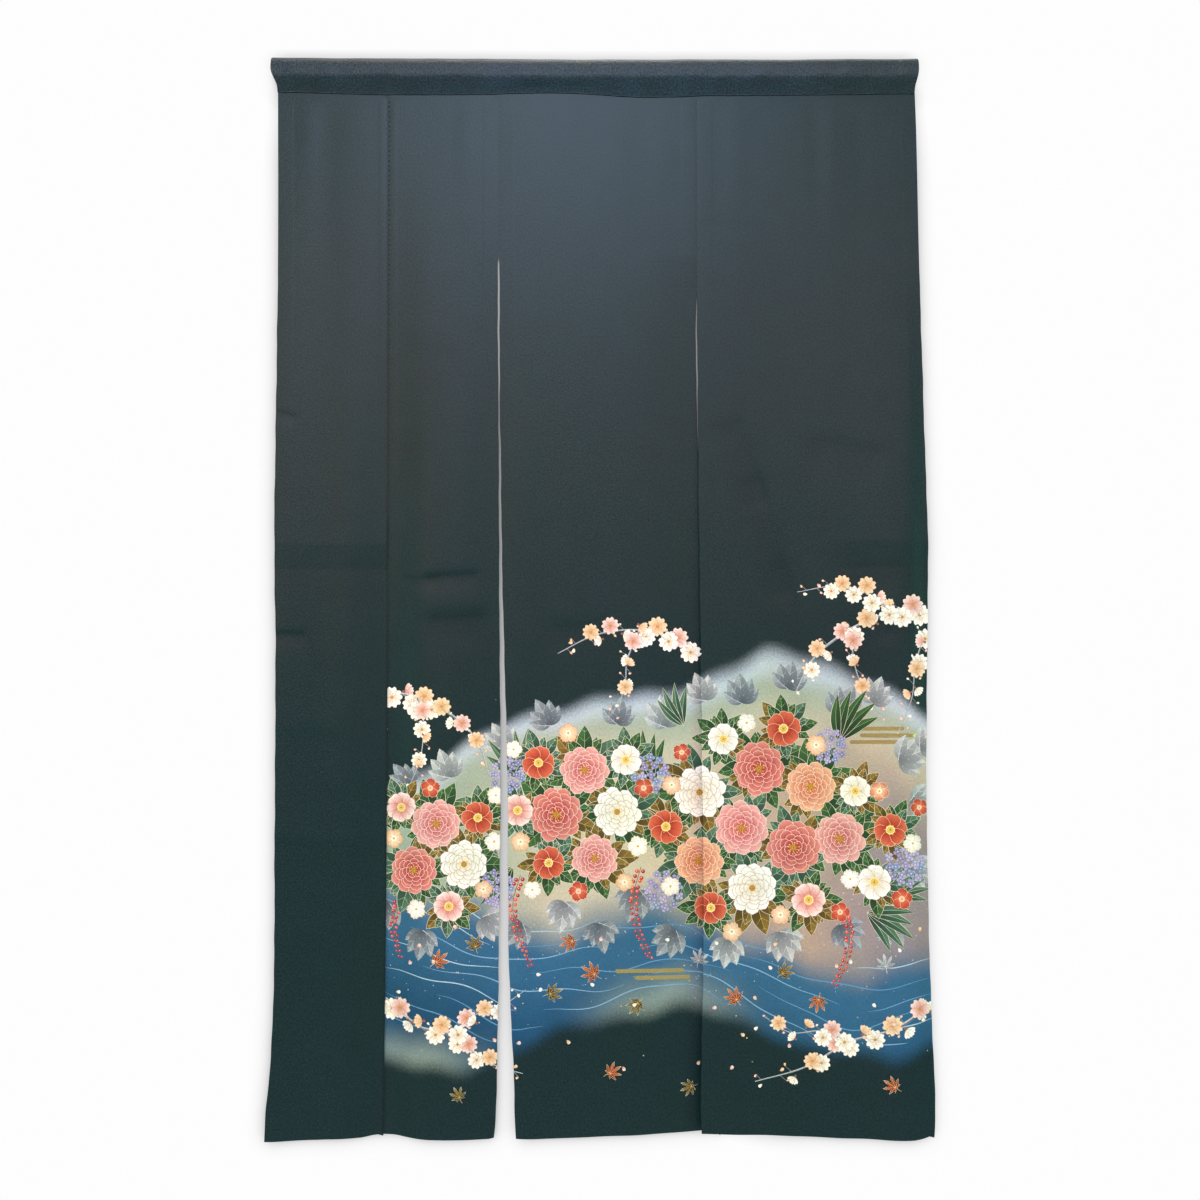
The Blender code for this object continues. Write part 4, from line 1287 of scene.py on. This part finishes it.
def sleeve(material):
    """The folded strip round the space for a rod, its two lips over the panels' tops."""
    profile = sleeve_profile()
    section = [(-y, z, -ny, nz) for y, z, ny, nz in reversed(profile)] + profile[1:]
    crest, lip_edge = Curve(CREST), Curve(LIP_EDGE)
    stations = spaced(0.0, 1.0, STATION_SPACING / (SLEEVE_ENDS[1] - SLEEVE_ENDS[0]))
    outer, inner, lengths = [], [], [0.0]
    for i, (forward, height, normal_forward, normal_up) in enumerate(section):
        roundness = min(1.0, max(0.0, (STITCH_LINE + height) / ROUNDING))
        openness = min(1.0, max(0.0, (STITCH_LINE + height) / END_TAPER))
        openness = openness * openness * (3 - 2 * openness)
        left = LIP_ENDS[0] + openness * (SLEEVE_ENDS[0] - LIP_ENDS[0])
        right = LIP_ENDS[1] + openness * (SLEEVE_ENDS[1] - LIP_ENDS[1])
        inset = END_CORNER * max(0.0, 1 + height / END_CORNER_REACH) ** 2
        x = left + inset + stations * (right - left - 2 * inset)
        bulge = sum(share * np.sin(math.tau * (x + shift) / length) for share, length, shift in BULGES)
        lift = crinkle(x, height) * roundness
        y = -forward * (1 + roundness * bulge) - normal_forward * lift
        z = height + roundness * crest(x) + normal_up * lift
        z = z + (1 - roundness) * lip_edge(x)
        outer.append(np.stack([x, y, z], 1))
        inner.append(np.stack([x, y + normal_forward * SLEEVE_CLOTH, z - normal_up * SLEEVE_CLOTH], 1))
        if i:
            lengths.append(lengths[-1] + math.dist(section[i][:2], section[i - 1][:2]))
    outer, inner = np.array(outer), np.array(inner)
    rows, columns = outer.shape[:2]
    count = rows * columns
    number = np.arange(count).reshape(rows, columns)
    quads = np.stack([number[:-1, :-1], number[:-1, 1:], number[1:, 1:], number[1:, :-1]], -1).reshape(-1, 4)
    ring = np.concatenate([number[0, :], number[1:, -1], number[-1, -2::-1], number[-2:0:-1, 0]])
    following = np.roll(ring, -1)
    rim = np.stack([following, ring, ring + count, following + count], 1)
    points = np.concatenate([outer.reshape(-1, 3), inner.reshape(-1, 3)])
    along = np.gradient(outer, axis=1)
    down = np.gradient(outer, axis=0)
    normal = np.cross(along, down).reshape(-1, 3)
    normal /= np.linalg.norm(normal, axis=1, keepdims=True)
    faces = [quads, quads[:, ::-1] + count, rim]
    middle = normal[number[rows // 2, columns // 2]]
    if middle[2] < 0:
        normal = -normal
        faces = [f[:, ::-1] for f in faces]
    corners = np.concatenate([f.reshape(-1) for f in faces])
    flat = np.stack([outer[:, :, 0], np.repeat(np.array(lengths)[:, None], columns, 1)], -1).reshape(-1, 2)
    flat = np.concatenate([flat, flat])
    # Darker and less blue towards the strip's ends
    share = ramp((np.abs(flat[:, 0] - 30) - 110) / 240)[:, None]
    strip_tones = linear(HEADING_DYE) * (1 - share) + linear(HEADING_TONE_AT_ENDS) * share
    colours = np.concatenate([strip_tones, np.zeros((len(flat), 1))], 1)[corners]
    low, high = flat.min(0), flat.max(0)
    share = (flat[corners] - low) / (high - low)
    side = np.concatenate([np.full(f.size, i) for i, f in enumerate(faces)])
    bake = np.stack([0.005 + 0.99 * share[:, 0], 0.005 + 0.46 * share[:, 1] + 0.48 * (side == 1)], 1)
    strip = side == 2
    steps = np.repeat(np.arange(len(rim)) / len(rim), 4)
    bake[strip] = np.stack([steps[:strip.sum()], np.tile([0.97, 0.97, 0.99, 0.99], len(rim))], 1)
    piece = make_mesh("cloth_sleeve", points, faces, np.concatenate([normal, -normal]), colours,
                      flat[corners] * MM, bake, material)
    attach(piece, ROOT)
    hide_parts("heading_sleeve")
    return piece


# ---- 6. Materials
# Each cloth: (name, grain, mottling, bump, specular, roughness)
SILK = ("silk_crepe", 1.4, 0.3, 0.18, 0.19, 0.40)
ROUGH_SILK = ("rough_silk_crepe", 3.0, 0.9, 0.9, 0.26, 0.42)
PEBBLES, FINE, MOTTLE, HUE_RED, HUE_BLUE = 400, 1300, 30, 7, 5      # sizes of the noises, per metre
FINE_SHADE = 0.4
RED_DRIFT, BLUE_DRIFT = 0.34, 0.30      # how far the dye's hue drifts
GRAIN_UNDER_PAINT = 0.35
PAINT_ROUGHER = 0.12
PEBBLE_ROUGHNESS = 0.12
GOLD_METALLIC, GOLD_SMOOTHER = 0.7, 0.35
RELIEF = 0.0008


def node_adder(owner):
    """Turns an owner's nodes on; the function it gives adds one, with its inputs, and returns an output."""
    owner.use_nodes = True
    tree = owner.node_tree

    def add(kind, inputs, output=0, **settings):
        node = tree.nodes.new("ShaderNode" + kind)
        for name, value in settings.items():
            setattr(node, name, value)
        join(node, inputs)
        return node.outputs[output]

    def join(node, inputs):
        for socket, value in inputs.items():
            if isinstance(value, bpy.types.NodeSocket):
                tree.links.new(value, node.inputs[socket])
            else:
                node.inputs[socket].default_value = value

    return tree.nodes, add, join


def crepe(name, grain, mottling, bump, specular, roughness):
    """Silk crepe that takes its dye, with the painted shade of grooves and creases, from the mesh, with
    pebbly grain and soft mottling.
    """
    material = bpy.data.materials.new(name)
    nodes, add, join = node_adder(material)
    cloth = add("UVMap", {}, uv_map="Cloth")
    # Dye colours, with painted shade in grooves and creases, from the mesh
    colour = add("VertexColor", {}, layer_name="dye_and_painted_shade")
    paint_share = colour.node.outputs["Alpha"]

    def noise(scale, detail, stretch=(1, 1, 1)):
        place = add("Mapping", {"Vector": cloth, "Scale": stretch})
        return add("TexNoise", {"Vector": place, "Scale": scale, "Detail": detail, "Roughness": 0.55})

    def calculate(operation, one, other):
        return add("Math", {0: one, 1: other}, operation=operation)

    def ranged(value, **limits):
        return add("MapRange", {"Value": value, **{k.replace("_", " "): v for k, v in limits.items()}})

    def spread(fac, amount):
        """A factor round 1, from noise round 0.5."""
        return calculate("ADD", calculate("MULTIPLY", fac, amount), 1 - amount / 2)

    pebbles, fine = noise(PEBBLES, 1.0, (1.0, 0.85, 1)), noise(FINE, 2.0)
    strength = calculate("MULTIPLY", ranged(
        paint_share, From_Max=0.25, To_Min=1.0, To_Max=GRAIN_UNDER_PAINT), grain)
    grains = calculate("MULTIPLY", calculate("SUBTRACT", pebbles, 0.5), strength)
    shade = calculate("MULTIPLY", calculate("ADD", grains, 1.0), spread(noise(MOTTLE, 5.0), mottling))
    shade = calculate("MULTIPLY", shade, spread(fine, FINE_SHADE))
    drift = add("CombineXYZ", {"X": spread(noise(HUE_RED, 2.0), RED_DRIFT), "Y": 1.0,
                               "Z": spread(noise(HUE_BLUE, 2.0, (1.2, 0.9, 1)), BLUE_DRIFT)})
    hued = add("VectorMath", {0: colour, 1: drift}, operation="MULTIPLY")
    tinted = add("VectorMath", {0: hued, "Scale": shade}, operation="SCALE")
    gold = ranged(paint_share, From_Min=0.6, From_Max=0.95)
    rough = ranged(paint_share, From_Max=0.5, To_Min=roughness, To_Max=roughness + PAINT_ROUGHER)
    rough = calculate("MULTIPLY", rough, spread(pebbles, PEBBLE_ROUGHNESS))
    relief = calculate("ADD", calculate("MULTIPLY", pebbles, 1.0), calculate("MULTIPLY", fine, 0.4))
    join(nodes["Principled BSDF"], {
        "Base Color": tinted,
        "Metallic": calculate("MULTIPLY", gold, GOLD_METALLIC),
        "Roughness": calculate("SUBTRACT", rough, calculate("MULTIPLY", gold, GOLD_SMOOTHER)),
        "Specular IOR Level": specular,
        "Normal": add("Bump", {"Height": relief, "Strength": bump, "Distance": RELIEF}),
    })
    return material


# ---- 7. Stage
FLOOR_HEIGHT = -1.93
FLOOR_SIDE, FLOOR_FAR = 3.5, 1.25
FLOOR_TONE = (0.86, 0.79, 0.79, 1)
WALL_GAP_ABOVE = 1.7        # mm behind the hanging cloth at the top of the slits
WALL_GAP = 6.5              # the same below
WALL_GAP_OUTER = 9.5        # the same beside it
WALL_BEHIND_SLEEVE = 22.0
WALL_FOLLOWS = (-438.0, 450.0)      # across, it follows the cloth between these places
WHITE = (0.985, 0.985, 0.985, 1)
CONTACT_SHADOW = 0.029      # m that it reaches
LIGHTS = (      # (name, place, target, width and height, power, colour)
    ("key", (-0.10, -2.1, 0.80), (-0.02, 0, -0.12), (0.6, 0.5), 35, (0.60, 0.76, 1.0)),
    ("spot_low", (-0.16, -2.1, 0.42), (-0.08, 0, -0.25), (0.5, 0.4), 3.8, (0.30, 0.34, 1.0)),
    ("front", (0.0, -2.45, 0.10), (0.0, 0, -0.2), (1.0, 1.3), 3.8, (1.0, 0.35, 0.35)),
    ("front_left", (-0.85, -2.45, 0.10), (-0.3, 0, -0.2), (0.7, 1.2), 16, (1.0, 0.48, 0.23)),
    ("front_right", (0.85, -2.45, 0.10), (0.3, 0, -0.2), (0.7, 1.2), 12, (1.0, 0.42, 0.32)),
    ("left", (-2.3, -1.7, -0.5), (0, 0, -1.0), (1.0, 1.0), 15.5, (0.62, 1.0, 0.68)),
    ("right", (2.3, -1.7, -0.5), (0, 0, -1.0), (1.0, 1.0), 13.2, (0.42, 1.0, 0.50)),
    ("top", (0, -0.55, 0.9), (0, 0, 0), (1.2, 0.3), 6.0, (1.0, 0.44, 0.06)),
    ("crest", (-0.25, 0.25, 1.5), (-0.10, 0, 0), (0.9, 0.3), 13, (1.0, 0.84, 0.74)),
    ("crest_behind", (0.30, 0.95, 1.35), (0.15, 0, 0), (0.9, 0.3), 5, (1.0, 0.88, 0.82)),
)
SKY = (0.73, 0.95, 1.0, 1)
SKY_LOW = 0.10              # strength of the surroundings below, above and straight overhead
SKY_HIGH = 0.60
SKY_OVERHEAD = 0.19


def wall_depth(x, z):
    """Depth of the white wall: a little behind whatever hangs there."""
    x_in, z_in = np.clip(x, *WALL_FOLLOWS), np.clip(z, FOOT, -60.0)
    depth = hanging(x_in, z_in, (LAP_LEFT_OF_SLIT_1, LAP_MIDDLE_RIGHT, CORNER_CURL))
    outside = ramp((np.abs(x - 6) - 400) / 44)
    gap = WALL_GAP_ABOVE + (WALL_GAP - WALL_GAP_ABOVE) * ramp((-450 - z) / 60)
    gap += (WALL_GAP_OUTER - gap) * outside
    gap += PANEL_CLOTH / 2 + TURNING
    top = ramp((z + 190) / 120)
    return (depth + gap) * (1 - top) + WALL_BEHIND_SLEEVE * top


def white_glow(name):
    """White that darkens in the contact shadow of what is near, and is clear seen from behind."""
    white = bpy.data.materials.new(name)
    nodes, add, join = node_adder(white)
    nodes.remove(nodes["Principled BSDF"])
    near = add("AmbientOcclusion", {"Distance": CONTACT_SHADOW, "Color": WHITE}, samples=16)
    behind = add("NewGeometry", {}, "Backfacing")
    glow, clear = add("Emission", {"Color": near}), add("BsdfTransparent", {})
    join(nodes["Material Output"], {"Surface": add("MixShader", {0: behind, 1: glow, 2: clear})})
    return white


def add_object(name, data):
    """A new object in the scene."""
    thing = bpy.data.objects.new(name, data)
    bpy.context.scene.collection.objects.link(thing)
    return thing


def stage():
    """Pale floor below the curtain, and a white wall behind it that only the camera sees, from the front."""
    floor_data = bpy.data.meshes.new("floor")
    corners = ((-FLOOR_SIDE, -FLOOR_SIDE), (FLOOR_SIDE, -FLOOR_SIDE), (FLOOR_SIDE, FLOOR_FAR),
               (-FLOOR_SIDE, FLOOR_FAR))
    floor_data.from_pydata([(*corner, FLOOR_HEIGHT) for corner in corners], [], [(0, 1, 2, 3)])
    pale = bpy.data.materials.new("pale_floor")
    nodes, _, join = node_adder(pale)
    join(nodes["Principled BSDF"], {"Base Color": FLOOR_TONE, "Roughness": 0.8})
    floor_data.materials.append(pale)
    floor = add_object("floor", floor_data)

    columns = np.concatenate([(-3500, -1500, -700), spaced(-480, 490, 10), (700, 1500, 3500)])
    down = np.concatenate([(2000, 400, 60), spaced(30, -1510, 14), (-1600, FLOOR_HEIGHT / MM)])
    x, z = (grid.ravel() for grid in np.meshgrid(columns, down))
    number = np.arange(len(x)).reshape(len(down), len(columns))
    quads = np.stack([number[1:, :-1], number[1:, 1:], number[:-1, 1:], number[:-1, :-1]], -1).reshape(-1, 4)
    wall_data = bpy.data.meshes.new("wall")
    wall_data.from_pydata((np.stack([x, wall_depth(x, z), z], 1) * MM).tolist(), [], quads.tolist())
    wall_data.shade_smooth()
    wall_data.materials.append(white_glow("white_wall"))
    wall = add_object("wall", wall_data)
    for kind in ("diffuse", "glossy", "transmission", "shadow"):
        setattr(wall, "visible_" + kind, False)


def lights_and_camera():
    """Pale surroundings, soft lights from the front and the sides, and the photograph's viewpoint."""
    scene = bpy.context.scene
    scene.world = bpy.data.worlds.new("studio")
    nodes, add, join = node_adder(scene.world)
    height = add("SeparateXYZ", {"Vector": add("TexCoord", {}, "Generated")}, "Z")
    slope = add("MapRange", {"Value": height, "From Min": -0.6, "From Max": 0.6, "To Min": SKY_LOW,
                             "To Max": SKY_HIGH})
    overhead = add("MapRange", {"Value": height, "From Min": 0.6, "From Max": 1.0, "To Max": SKY_OVERHEAD})
    lit, seen = nodes["Background"], add("Background", {"Color": WHITE})
    join(lit, {"Strength": add("Math", {0: slope, 1: overhead}), "Color": SKY})
    to_camera = add("LightPath", {}, "Is Camera Ray")
    join(nodes["World Output"], {"Surface": add("MixShader", {0: to_camera, 1: lit.outputs[0], 2: seen})})
    for name, place, target, size, power, colour in LIGHTS:
        data = bpy.data.lights.new(name, "AREA")
        data.shape = "RECTANGLE"
        data.size, data.size_y = size
        data.energy = power
        data.color = colour
        light = add_object(name, data)
        light.location = place
        light.rotation_mode = "QUATERNION"
        light.rotation_quaternion = (Vector(target) - Vector(place)).to_track_quat("-Z", "Y")
    data = bpy.data.cameras.new("camera")
    data.sensor_width = SENSOR
    data.lens = LENS
    camera = add_object("camera", data)
    camera.location = CAMERA_PLACE
    camera.rotation_euler = (math.radians(90 + CAMERA_PITCH), 0, 0)
    scene.camera = camera
    scene.view_settings.view_transform = "Standard"


# ---- 8. Build
compose()
silk = crepe(*SILK)
rough_silk = crepe(*ROUGH_SILK)
sleeve(rough_silk)
for each in PANELS:
    sheet(each, silk)
stage()
lights_and_camera()
